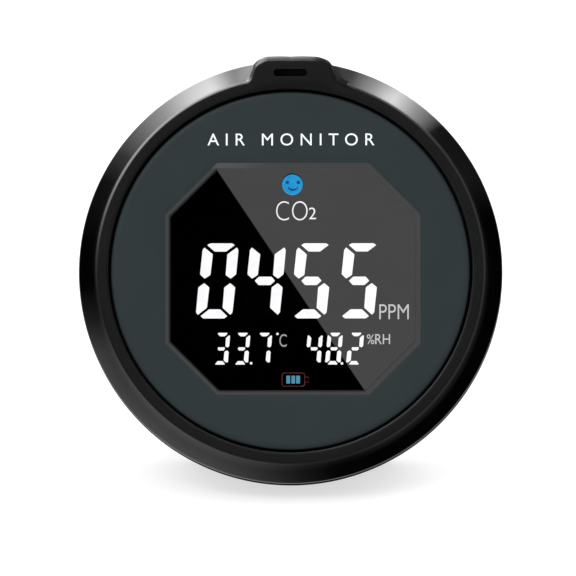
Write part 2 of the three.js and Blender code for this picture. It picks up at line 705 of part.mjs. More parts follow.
function standLeg() {
  const openCos = Math.cos(STAND_OPEN);
  const openSin = Math.sin(STAND_OPEN);
  // heel face, parallel to the ledge when the stand is open
  const [heelLow, heelTop] = HEEL_Z
    .map((z) => [HEEL_Y * openCos + z * openSin, -HEEL_Y * openSin + z * openCos]);
  const leg = profileX([
    [LEG_IN, footAt(LEG_IN)], [LEG_IN, -1.2], [-0.9, 0.4], heelLow, heelTop,
    [LEG_OUT - 0.3, heelTop[1]], [LEG_OUT, heelTop[1] - 0.35], [LEG_OUT, footAt(LEG_OUT)],
  ], around(0, STAND_HALF));
  const knuckle = rodX([0, 0], KNUCKLE_R, around(0, STAND_HALF), 32);
  // the leg narrows a little towards its foot
  const footHalf = STAND_HALF - FOOT_NARROWING;
  const outline = plate([
    [-STAND_HALF, 8], [-STAND_HALF, -42], [-footHalf, -60],
    [footHalf, -60], [STAND_HALF, -42], [STAND_HALF, 8],
  ], [-6, 6]);
  const panel = plate(roundRect([0, -25], [8.2, 15.5], 3), [LEG_OUT - 0.5, 5]);
  const notch = plate(disc([0, footAt(LEG_OUT) - 2.6], 5.2, 32), [-5, 5]);
  const bore = rodX([0, 0], PIN_R + 0.15, [-20, 20], 20);
  return cut(leg.add(knuckle).intersect(outline), [panel, notch, bore]);
}

const standPin = () => rodX([HINGE_Y, HINGE_Z], PIN_R, [-14.9, 15.6], 20);

// ------------------------------------------------------------------- assembly
const group = new THREE.Group();
const caseGroup = new THREE.Group();
group.add(caseGroup);
const standGroup = new THREE.Group();
caseGroup.add(standGroup);

function addPiece(name, body, finish, parent = caseGroup) {
  const data = body.getMesh();
  const positions = new Float32Array(data.vertProperties);
  const geometry = new THREE.BufferGeometry();
  geometry.setAttribute("position", new THREE.BufferAttribute(positions, 3));
  geometry.setIndex(new THREE.BufferAttribute(new Uint32Array(data.triVerts), 1));
  geometry.computeVertexNormals();
  const mesh = new THREE.Mesh(geometry, new THREE.MeshStandardMaterial(finish));
  mesh.name = name;
  parent.add(mesh);
  return mesh;
}

addPiece("front_bezel", frontBezel(), FINISH.bezel);
addPiece("face_plate_tape", facePlateTape(), FINISH.plateTape);
addPiece("face_plate", facePlate(), FINISH.facePlate);
addPiece("window_lens", windowLens(), FINISH.lens);

addPiece("display_mask", displayMask(), FINISH.mask);
addPiece("smiley_icon_filter", smileyFilter(), FINISH.smileyFilter);
addPiece("battery_icon_filter", batteryFilter(), FINISH.batteryFilter);
addPiece("segment_diffuser", segmentDiffuser(), FINISH.diffuser);
addPiece("display_reflector", displayReflector(), FINISH.reflector);
addPiece("led_board", ledBoard(), FINISH.ledBoard);
addPiece("display_header", displayHeader(), FINISH.header);

addPiece("main_board", mainBoard(), FINISH.mainBoard);
for (const [name, ...spans] of CHIPS) addPiece(name, box(...spans), FINISH.chip);
addPiece("power_inductor", powerInductor(), FINISH.inductor);
addPiece("buzzer", buzzer(), FINISH.buzzer);
addPiece("humidity_sensor", humiditySensor(), FINISH.humiditySensor);

addPiece("co2_sensor_header", sensorHeader(), FINISH.header);
addPiece("co2_sensor_board", sensorBoard(), FINISH.sensorBoard);
addPiece("co2_sensor_chamber", sensorChamber(), FINISH.sensorChamber);
addPiece("co2_sensor_membrane", sensorMembrane(), FINISH.membrane);

addPiece("battery_tape", batteryTape(), FINISH.batteryTape);
addPiece("battery_cell", batteryCell(), FINISH.batteryCell);
addPiece("battery_connector", batteryConnector(), FINISH.connector);
addPiece("battery_lead_red", batteryLead(RED_LEAD), FINISH.redLead);
addPiece("battery_lead_black", batteryLead(BLACK_LEAD), FINISH.blackLead);

addPiece("usb_receptacle", usbReceptacle(), FINISH.usb);
addPiece("power_switch", powerSwitch(), FINISH.powerSwitch);
addPiece("switch_plunger", switchPlunger(), FINISH.plunger);
addPiece("power_button", powerButton(), FINISH.button);

addPiece("rear_cover", rearCover(), FINISH.cover);
addPiece("foot_pad_left", footPad(-1), FINISH.rubber);
addPiece("foot_pad_right", footPad(1), FINISH.rubber);
for (const [side, angle] of Object.entries(VENT_SIDES)) {
  addPiece(`vent_mesh_${side}`, ventMesh(angle), FINISH.ventMesh);
}
SCREW_PLACES.forEach(([x, z], i) => {
  addPiece(`case_screw_${i + 1}`, caseScrew(), FINISH.screw).position.set(x, 0, z);
});

addPiece("stand_leg", standLeg(), FINISH.stand, standGroup);
standGroup.position.set(0, HINGE_Y, HINGE_Z);
standGroup.rotation.x = STAND_OPEN;
addPiece("stand_pin", standPin(), FINISH.pin);

// ------------------------------------------------------------------ placement
caseGroup.rotation.x = -LEAN;
group.updateMatrixWorld(true);
const bounds = new THREE.Box3().setFromObject(group, true);
group.position.set(
  -(bounds.min.x + bounds.max.x) / 2,
  -(bounds.min.y + bounds.max.y) / 2,
  -bounds.min.z,
);
group.updateMatrixWorld(true);

export default group;
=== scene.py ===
"""Desktop air monitor: a round black case with a slate face, an octagonal window over a lit
display, a tab with a slot at the top and a folding stand behind.

Pieces are drawn in the case frame, in mm: X right as seen from the front, Y from front to
back, Z up along the face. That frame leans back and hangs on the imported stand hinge.
"""
import json
import math

import bmesh
import bpy
import numpy as np
from mathutils import Matrix, Vector


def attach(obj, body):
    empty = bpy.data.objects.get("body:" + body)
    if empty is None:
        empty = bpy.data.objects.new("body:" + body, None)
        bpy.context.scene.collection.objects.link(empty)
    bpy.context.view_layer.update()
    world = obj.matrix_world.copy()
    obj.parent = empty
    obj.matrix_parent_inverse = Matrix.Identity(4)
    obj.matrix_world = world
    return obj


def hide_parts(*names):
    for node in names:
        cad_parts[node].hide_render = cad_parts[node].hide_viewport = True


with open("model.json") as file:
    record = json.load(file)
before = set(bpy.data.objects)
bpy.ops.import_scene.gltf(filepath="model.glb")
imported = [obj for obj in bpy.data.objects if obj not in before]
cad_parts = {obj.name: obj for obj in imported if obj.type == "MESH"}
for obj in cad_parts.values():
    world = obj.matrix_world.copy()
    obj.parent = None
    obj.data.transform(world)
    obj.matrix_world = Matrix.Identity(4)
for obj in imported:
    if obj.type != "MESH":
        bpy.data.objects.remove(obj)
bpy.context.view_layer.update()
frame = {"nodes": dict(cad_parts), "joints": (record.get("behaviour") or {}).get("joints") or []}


# --------------------------------------------------------------------- frames
LEAN = math.radians(22)
OPEN = math.radians(35)  # stand against the case
MM = 0.001
HINGE_Y, HINGE_Z = 11.9, 18  # stand hinge in the case frame
joints = {joint["name"]: joint for joint in frame["joints"]}
hinge = Vector(joints["stand_hinge"]["pos_m"])
LEAN_TURN = Matrix.Rotation(-LEAN, 4, "X")
origin = hinge - LEAN_TURN @ Vector((0, HINGE_Y * MM, HINGE_Z * MM))
CASE = Matrix.Translation(origin) @ LEAN_TURN @ Matrix.Scale(MM, 4)
STAND = (Matrix.Translation(hinge) @ Matrix.Rotation(OPEN - LEAN, 4, "X")
         @ Matrix.Scale(MM, 4))
SIN_LEAN, COS_LEAN = math.sin(LEAN), math.cos(LEAN)
CASE_TURN = LEAN_TURN.to_3x3()
TO_FRONT = CASE_TURN @ Vector((0, -1, 0))
TO_RIGHT = CASE_TURN @ Vector((1, 0, 0))
TO_UP = CASE_TURN @ Vector((0, 0, 1))

# ------------------------------------------------------------ driving sizes, mm
WINDOW_X, WINDOW_Z = 0.48, -1.56  # centre of the octagon
WINDOW_HALF_W, WINDOW_HALF_H = 23.98, 21.85
WINDOW_CUT = 9.72  # corner cut off both sides
PLATE_R = 33.78
PLATE_Y = -13.7  # front of the face plate
RING_Y = -14.0  # front of the ring round it
RIM_R = 40
LENS_Y = -13.08
GLOW_Y = -11.36  # front of the lit segments
GLOW_BACK = -10.55
SMILEY_X, SMILEY_Z = 0.356, 16.40
SCREW_X, SCREW_Z = 25, 19
POSTS = [(sx * SCREW_X, sz * SCREW_Z) for sx in (-1, 1) for sz in (-1, 1)]
FLAT = 36.3  # distance of the flat under the back from the case axis
PAD_HEIGHT = 0.6


# ---------------------------------------------------------------- shader graph
class Socket:
    """One output of a node; arithmetic on it adds Math nodes."""

    def __init__(self, graph, node, key=0):
        self.graph = graph
        self.node = node
        self.key = key

    def __getitem__(self, key):
        return Socket(self.graph, self.node, key)

    def __add__(self, other):
        return self.graph.math("ADD", self, other)

    def __radd__(self, other):
        return self.graph.math("ADD", other, self)

    def __sub__(self, other):
        return self.graph.math("SUBTRACT", self, other)

    def __rsub__(self, other):
        return self.graph.math("SUBTRACT", other, self)

    def __mul__(self, other):
        return self.graph.math("MULTIPLY", self, other)

    def __truediv__(self, other):
        return self.graph.math("DIVIDE", self, other)


class Graph:
    """Adds and links shader nodes."""

    def __init__(self, tree):
        self.tree = tree
        self.shared_geometry = None
        tree.nodes.clear()

    def add(self, kind, *values, props=None, **inputs):
        """New node; `values` fill its inputs in order, `inputs` by name."""
        node = self.tree.nodes.new("ShaderNode" + kind)
        for key, value in (props or {}).items():
            setattr(node, key, value)
        for place_in_list, value in enumerate(values):
            self.put(node.inputs[place_in_list], value)
        out = Socket(self, node)
        self.set(out, **inputs)
        return out

    def set(self, out, **inputs):
        for key, value in inputs.items():
            self.put(out.node.inputs[key.replace("_", " ")], value)

    def put(self, target, value):
        if isinstance(value, Socket):
            self.tree.links.new(value.node.outputs[value.key], target)
        else:
            target.default_value = value

    @property
    def geometry(self):
        if self.shared_geometry is None:
            self.shared_geometry = self.add("NewGeometry")
        return self.shared_geometry

    def math(self, operation, a, b=0.0, c=0.0, clamp=False):
        return self.add("Math", a, b, c, props={"operation": operation, "use_clamp": clamp})

    def vector(self, operation, *values, **inputs):
        return self.add("VectorMath", *values, props={"operation": operation}, **inputs)

    def dot(self, a, b):
        return self.vector("DOT_PRODUCT", a, tuple(b))["Value"]

    def remap(self, value, span, to=(0, 1), kind="LINEAR"):
        return self.add("MapRange", value, *span, *to, props={"interpolation_type": kind})

    def ease(self, value, span, to=(0, 1)):
        return self.remap(value, span, to, "SMOOTHSTEP")

    def mix(self, factor, a, b):
        out = self.add("Mix", factor, props={"data_type": "RGBA"})
        self.put(out.node.inputs[6], a)
        self.put(out.node.inputs[7], b)
        return out[2]

    def noise(self, scale, detail=3.0, rough=0.5, stretch=None):
        where = self.add("TexCoord")["Object"]
        if stretch is not None:
            where = self.add("Mapping", Vector=where, Scale=stretch)
        return self.add("TexNoise", Vector=where, Scale=scale, Detail=detail,
                        Roughness=rough)["Fac"]

    def bevel(self, radius):
        return self.add("Bevel", props={"samples": 4}, Radius=radius)

    def in_case(self, *axes):
        """Shaded point in case mm along each of the axes."""
        offset = self.vector("SUBTRACT", self.geometry["Position"], tuple(CASE.translation))
        return [self.dot(offset, axis) * 1000.0 for axis in axes]

    def mirror_direction(self, normal):
        back = self.vector("SCALE", self.geometry["Incoming"], Scale=-1.0)
        return self.vector("REFLECT", back, normal)


def scaled(color, k):
    return (color[0] * k, color[1] * k, color[2] * k, 1)


def new_material(name):
    material = bpy.data.materials.new(name)
    material.use_nodes = True
    return material, Graph(material.node_tree)


# ---------------------------------------------------------------------- camera
# Seen almost square to the face, a little from below and from the right of its axis.
DISTANCE = 2000.0  # mm from the face
BELOW = math.radians(4.0)
ASIDE = math.radians(0.77)
VIEW_WIDTH = 108.4608  # mm across the view at the face
AIM_RIGHT, AIM_UP = -0.426762, -3.308067  # mm from the middle of the ring's front
to_eye = Vector((math.sin(ASIDE), -math.cos(ASIDE) * math.cos(BELOW), -math.sin(BELOW)))
to_eye = to_eye.normalized()
view_right = Vector((0, 0, 1)).cross(to_eye).normalized()
view_up = to_eye.cross(view_right).normalized()
aim = Vector((0, RING_Y, 0)) + view_right * AIM_RIGHT + view_up * AIM_UP
eye = aim + to_eye * DISTANCE
eye_world = CASE @ eye


def build_camera():
    data = bpy.data.cameras.new("camera")
    data.sensor_width = 36
    data.lens = data.sensor_width * DISTANCE / VIEW_WIDTH
    data.clip_start = 0.01
    camera = bpy.data.objects.new("camera", data)
    bpy.context.scene.collection.objects.link(camera)
    turn = CASE_TURN @ Matrix((view_right, view_up, to_eye)).transposed()
    camera.matrix_world = Matrix.LocRotScale(eye_world, turn.to_quaternion(), (1, 1, 1))
    bpy.context.scene.camera = camera


build_camera()

# -------------------------------------------------------------- mirrored studio
MIRROR_Y = -13.1
# Ends of the straight line where the glare on the window stops: x, z at MIRROR_Y
GLARE_LINE = [(-14.64266, 20.29067), (14.50652, -23.36049)]
# The same line at the depth of the display: x, z
GLARE_LINE_DEEP = [(-14.6785, 20.4329), (14.4961, -23.2563)]


def bounce(x, z):
    """Direction from the eye, mirrored by the flat window at x, z."""
    ray = (CASE @ Vector((x, MIRROR_Y, z)) - eye_world).normalized()
    return (ray - 2 * ray.dot(TO_FRONT) * TO_FRONT).normalized()


GLARE_AT = bounce(WINDOW_X, WINDOW_Z)
GLARE_EDGE = bounce(*GLARE_LINE[0]).cross(bounce(*GLARE_LINE[1])).normalized()
if GLARE_EDGE.dot(bounce(15, 15)) < 0:  # the glare lies to the upper right
    GLARE_EDGE = -GLARE_EDGE

# Light round the case: degrees anticlockwise from the right as seen from the front, level
RIM_TABLE = [
    (0, 0.00017), (20, 0.00016), (32, 0.01077), (40, 0.00864), (48, 0.0099), (56, 0.46514),
    (62, 1.06493), (68, 0.45056), (76, 0.01672), (84, 0.03548), (90, 0.4), (100, 0.6),
    (106, 0.34454), (112, 1.09051), (118, 0.91526), (126, 0.4464), (134, 0.20516),
    (142, 0.05198), (150, 0.00815), (158, 0.00539), (168, 0.00024), (180, 0.00041),
    (190, 0.01928), (200, 0.07677), (212, 0.08955), (226, 0.10647), (244, 0.09824),
    (256, 0.06856), (264, 0.03991), (272, 0.0163), (282, 0.0021), (296, 0.00027),
]
RIM_GAIN = 8.4
EDGE_TABLE = [
    (0, 0.5), (40, 0.6), (52, 1.0), (63, 3.0), (72, 0.5), (90, 0.15), (100, 3.0), (108, 8.0),
    (118, 9.0), (130, 9.0), (142, 8.0), (152, 5.0), (161, 2.2), (170, 0.6), (180, 0.1),
    (189, 0.15), (205, 0.6), (220, 0.8), (240, 0.7), (258, 0.45), (274, 0.2), (288, 0.1),
    (301, 0.4), (315, 0.45), (343, 0.4),
]
GLARE_GAIN = 1.55


def stops(graph, table, turn):
    """Level against azimuth from a table of degrees and levels."""
    ramp = graph.add("ValToRGB", turn)
    elements = ramp.node.color_ramp.elements
    while len(elements) > 1:
        elements.remove(elements[-1])
    for i, (degrees, level) in enumerate(table):
        element = elements[0] if i == 0 else elements.new(degrees / 360)
        element.position = degrees / 360
        element.color = (level, level, level, 1)
    return ramp


def studio_light(graph, direction):
    """Light seen in a mirror direction, from lights placed round the case."""
    ease = graph.ease
    right, up, front = (graph.dot(direction, axis) for axis in (TO_RIGHT, TO_UP, TO_FRONT))
    azimuth = graph.math("ARCTAN2", up, right)
    turn = graph.math("FRACT", azimuth / (2 * math.pi) + 1.0)
    # ring of panels behind the rim, reaching further forward at the lower left
    low = (ease(turn, (185 / 360, 200 / 360))
           * ease(turn, (262 / 360, 278 / 360), (1, 0)))
    wide = low * ease(front, (0.35, 0.85), (1, 0))
    reach = graph.math("MAXIMUM", ease(front, (0.08, 0.3), (1, 0)), wide)
    rim = stops(graph, RIM_TABLE, turn) * RIM_GAIN * reach
    rim = rim * ease(front, (-0.9, -0.7))
    # in the upper half the ring is weaker towards its back
    fall = graph.remap(front, (-0.56, -0.12), (0.6, 1.38)) - 1.0
    upper = ease(turn, (0.44, 0.5), (1, 0))
    rim = rim * (1.0 + fall * upper)
    # strip that draws the line round the front ring
    strip = stops(graph, EDGE_TABLE, turn) * ease(front, (-0.1, 0.15))
    strip = strip * ease(front, (0.62, 0.88), (1, 0))
    # straight-edged panel in front, mirrored by the window
    cone = (math.cos(math.radians(9)), math.cos(math.radians(7)))
    near = ease(graph.dot(direction, GLARE_AT), cone)
    step = graph.remap(graph.dot(direction, GLARE_EDGE), (-0.00004, 0.00004))
    glare = near * step * GLARE_GAIN
    # weak light from the rest of the front and from behind
    ahead = ease(front, (0.15, 0.5), (0, 0.2)) * (1.0 - near)
    behind = ease(front, (-0.6, -0.8), (0, 0.9)) * ease(front, (-0.97, -0.93))
    return ((rim + glare) + (ahead + behind)) + strip


TOP_BACK = Vector((-0.35, 0.62, 0.70)).normalized()


def painted_back_reflection(graph, normal, amount):
    """Painted reflection on rough plastic, given out as emission: the pale floor, with painted
    shade close to the case, and a softbox high behind it, darkened in cavities by painted shade."""
    ease = graph.ease
    mirror = graph.mirror_direction(normal)
    rise = graph.add("SeparateXYZ", mirror)[2]
    height = graph.add("SeparateXYZ", graph.geometry["Position"])[2]
    down = graph.math("MAXIMUM", rise * -1.0, 0.08)
    # painted shade: the floor's reflection is darker close to the case
    lit = ease(height / down, (0.0, 0.085), (0.10, 1.0))
    ground = ease(rise, (-0.45, 0.3), (1.0, 0.0)) * lit
    softbox = ease(graph.dot(mirror, TOP_BACK), (0.35, 0.98), (0.0, 1.6))
    sky = ease(rise, (-0.1, 0.8), (0.12, 0.3))
    total = ground + softbox + sky
    fresnel = graph.add("Fresnel", IOR=1.46, Normal=normal)
    fresnel = graph.math("MINIMUM", fresnel, 0.22)
    # painted shade: the painted reflection is darkened in cavities
    occlusion = graph.add("AmbientOcclusion", props={"samples": 4}, Distance=0.004)
    exposed = graph.math("POWER", occlusion["AO"], 1.5)
    return total * fresnel * amount * exposed


# ------------------------------------------------------------------ materials
def fade_on_tab(graph, surface, spec, left_level):
    """Polish across the tab: `left_level` at its left end, almost none at its right."""
    x, = graph.in_case(TO_RIGHT)
    shine = (graph.ease(x, (-6.5, -4.0), (left_level, 1))
             * graph.ease(x, (3.5, 6.0), (1, 0.06)))
    graph.set(surface, Specular_IOR_Level=shine * spec)


def dull_beside_tab(graph, surface, spec, rough, amount):
    """Polish that comes in gradually beside the right shoulder of the tab."""
    x, z = graph.in_case(TO_RIGHT, TO_UP)
    polished = graph.math("MAXIMUM", graph.ease(x, (8.4, 13.5)),
                          graph.ease(x, (-1.0, 0.0), (1, 0)))
    dull = (1.0 - polished) * graph.ease(z, (30.0, 33.0), (0, amount))
    graph.set(surface, Specular_IOR_Level=(1.0 - dull) * spec,
              Roughness=rough + dull * 0.35)


def plastic(name, color, rough, vary=0.12, grain=0.0, grain_scale=5000, ripple=0.0,
            bevel=0.0002, wear=0.0, wear_color=None, rough_vary=0.05, spec=0.5,
            specks=0.0, painted_sheen=0.0, tab_fade=0.0, beside_tab=0.0):
    """Moulded surface: slow tint change, roughness change, fine grain, soft worn edges; a
    painted sheen given out as emission when asked.
    """
    material, graph = new_material(name)
    slow = graph.noise(90, detail=3, rough=0.55)
    mid = graph.noise(900, detail=4, rough=0.6)
    tint = graph.mix(graph.remap(slow, (0.3, 0.7)), scaled(color, 1 - vary),
                     scaled(color, 1 + vary))
    normal = graph.bevel(bevel) if bevel else None
    if wear:
        edge = 1.0 - graph.vector("DOT_PRODUCT", normal, graph.geometry["Normal"])["Value"]
        worn = graph.math("MULTIPLY", graph.ease(edge, (0.015, 0.12)),
                          graph.ease(mid, (0.42, 0.62), (0, wear)), clamp=True)
        tint = graph.mix(worn, tint, wear_color or scaled(color, 3.0))
    roughness = graph.remap(mid, (0.25, 0.75), (rough - rough_vary, rough + rough_vary))
    if specks:
        cells = graph.add("TexVoronoi", Vector=graph.add("TexCoord")["Object"], Scale=1400.0)
        speck = graph.ease(cells["Distance"], (0.035, 0.06), (specks, 0))
        speck = speck * graph.ease(slow, (0.45, 0.6))
        tint = graph.mix(speck, tint, scaled(color, 6.0))
    surface = graph.add("BsdfPrincipled", Base_Color=tint, Roughness=roughness,
                        Specular_IOR_Level=spec, Coat_Roughness=0.08)
    if tab_fade:
        fade_on_tab(graph, surface, spec, tab_fade)
    if beside_tab:
        dull_beside_tab(graph, surface, spec, roughness, beside_tab)
    if grain or ripple:
        height = graph.noise(grain_scale, detail=2) * grain
        if ripple:
            height = height + graph.noise(140, detail=1, rough=0.4) * ripple
        bump = graph.add("Bump", Height=height, Distance=0.0001, Strength=1.0)
        if normal is not None:
            graph.set(bump, Normal=normal)
        normal = bump
    if normal is not None:
        graph.set(surface, Normal=normal)
    # painted sheen: a reflection of floor and softbox given out as emission
    if painted_sheen:
        graph.set(surface, Emission_Color=(0.96, 0.98, 1.0, 1),
                  Emission_Strength=painted_back_reflection(graph, normal, painted_sheen))
        material.cycles.emission_sampling = "NONE"
    graph.add("OutputMaterial", Surface=surface)
    return material


def metal(name, color, rough, stretch=(1, 1, 1)):
    """Bare metal with fine streaks."""
    material, graph = new_material(name)
    streak = graph.noise(2500, stretch=stretch)
    tint = graph.mix(graph.noise(300), scaled(color, 0.85), scaled(color, 1.1))
    bump = graph.add("Bump", Height=streak, Distance=0.00003, Strength=0.5,
                     Normal=graph.bevel(0.0001))
    roughness = graph.remap(streak, (0.3, 0.7), (rough * 0.8, rough * 1.25))
    surface = graph.add("BsdfPrincipled", Base_Color=tint, Metallic=1.0,
                        Roughness=roughness, Normal=bump)
    graph.add("OutputMaterial", Surface=surface)
    return material


def board(name, mask, copper):
    """Solder mask over copper tracks, seen as a grid of paler lines with vias."""
    material, graph = new_material(name)
    where = graph.add("TexCoord")["Object"]
    brick = graph.add("TexBrick", Vector=where, Scale=420.0, Mortar_Size=0.03)
    lines = graph.remap(brick["Fac"], (0.4, 0.6), (0, 0.6))
    cells = graph.add("TexVoronoi", Vector=where, Scale=330.0)
    via = graph.ease(cells["Distance"], (0.09, 0.12), (1, 0))
    tint = graph.mix(via, graph.mix(lines, mask, scaled(mask, 1.7)), copper)
    roughness = graph.remap(graph.noise(700), (0.3, 0.7), (0.35, 0.5))
    surface = graph.add("BsdfPrincipled", Base_Color=tint, Roughness=roughness,
                        Metallic=via * 0.9)
    graph.add("OutputMaterial", Surface=surface)
    return material


def weave(name, color):
    """Fine woven mesh: two crossed sets of threads with dark holes."""
    pitch = 0.00055
    material, graph = new_material(name)
    where = graph.add("SeparateXYZ", graph.add("TexCoord")["Object"])
    across, along = (
        graph.math("ABSOLUTE", graph.math("SINE", where[axis] * (math.pi / pitch)))
        for axis in (0, 2))
    hole = across * along
    tint = graph.mix(graph.ease(hole, (0.35, 0.55)), color, (0.002, 0.002, 0.002, 1))
    bump = graph.add("Bump", Height=hole, Distance=0.0001, Strength=0.6)
    surface = graph.add("BsdfPrincipled", Base_Color=tint, Roughness=0.7, Normal=bump)
    graph.add("OutputMaterial", Surface=surface)
    return material


def glow(name, color, strength, vary=0.05):
    """Lit display element with a faint unevenness of the light behind it."""
    material, graph = new_material(name)
    level = graph.remap(graph.noise(500, detail=2), (0.3, 0.7),
                        (strength * (1 - vary), strength * (1 + vary)))
    surface = graph.add("BsdfPrincipled", Base_Color=scaled(color, 0.05), Roughness=0.5,
                        Emission_Color=color, Emission_Strength=level)
    graph.add("OutputMaterial", Surface=surface)
    material.cycles.emission_sampling = "NONE"
    return material


def lens_painted_reflection(name):
    """Polished smoked acrylic: clear along the line of sight, with a painted reflection of the
    studio given out as emission by Fresnel. Round the icon the painted reflection is left out,
    so it shows clear."""
    material, graph = new_material(name)
    clear = graph.add("BsdfTransparent", Color=(0.93, 0.93, 0.94, 1))
    geometry = graph.geometry
    flat = graph.add("CombineXYZ", *TO_FRONT)
    mirror = graph.mirror_direction(flat)
    amount = graph.add("Fresnel", IOR=1.5, Normal=flat) * (1.0 - geometry["Backfacing"])
    amount = amount * graph.add("LightPath")["Is Camera Ray"]
    smear = graph.remap(graph.noise(120, detail=4, rough=0.6, stretch=(1, 1, 2.2)),
                        (0.3, 0.7), (0.97, 1.03))
    # round the icon the painted reflection is left out
    spot = CASE @ Vector((SMILEY_X, LENS_Y, SMILEY_Z))
    distance = graph.vector("DISTANCE", geometry["Position"], tuple(spot))["Value"]
    # the painted reflection is left out round the icon only for a nearly square view
    slanting = graph.ease(graph.dot(geometry["Incoming"], TO_FRONT), (0.972, 0.992), (1, 0))
    outside = graph.math("MAXIMUM", graph.ease(distance, (0.00192, 0.00206)), slanting)
    amount = amount * outside
    amount = amount * graph.remap(graph.dot(geometry["Normal"], TO_FRONT), (0.45, 0.6))
    # painted reflection: the studio light in the mirror direction, given out as emission, camera
    # only
    light = studio_light(graph, mirror) * amount * smear
    shine = graph.add("Emission", Color=(1, 1, 1, 1), Strength=light)
    graph.add("OutputMaterial", Surface=graph.add("AddShader", clear, shine))
    material.cycles.emission_sampling = "NONE"
    return material


def window_edge_painted_light(name):
    """Slope round the window, its polished shine painted in as emission: an even painted
    reflection, with a soft painted dark run towards the smoked lens on the unlit side and a
    painted highlight near the upper left corner."""
    material, graph = new_material(name)
    x, z, depth = graph.in_case(TO_RIGHT, TO_UP, TO_FRONT)
    (x0, z0), (x1, z1) = GLARE_LINE_DEEP
    across = Vector((z0 - z1, x1 - x0)).normalized()
    # painted reflection on the side where the glare lies
    lit = graph.remap((x - x0) * across.x + (z - z0) * across.y, (-0.15, 0.15))
    # painted shade: a dark run deepening towards the lens on the unlit side
    run = graph.ease(depth, (13.12, 13.48), (0.13, 1.0))
    painted_shade_side = run * graph.remap(depth, (13.55, 13.7), (1.0, 0.86))
    # painted highlight near the upper left corner
    corner = graph.ease(x, (-13.6, -2.0), (0.55, 0.0)) * graph.ease(z, (19.2, 19.5))
    level = (1.0 + corner) * graph.math("MAXIMUM", painted_shade_side, lit)
    fine = graph.remap(graph.noise(700), (0.3, 0.7), (0.97, 1.03))
    roughness = graph.remap(graph.noise(500), (0.3, 0.7), (0.3, 0.36))
    surface = graph.add("BsdfPrincipled", Base_Color=(0.008, 0.0083, 0.0086, 1),
                        Roughness=roughness, Specular_IOR_Level=0.0,
                        Emission_Color=(1.0, 1.0, 1.0, 1),
                        Emission_Strength=level * fine * 0.052)
    graph.add("OutputMaterial", Surface=surface)
    material.cycles.emission_sampling = "NONE"
    return material


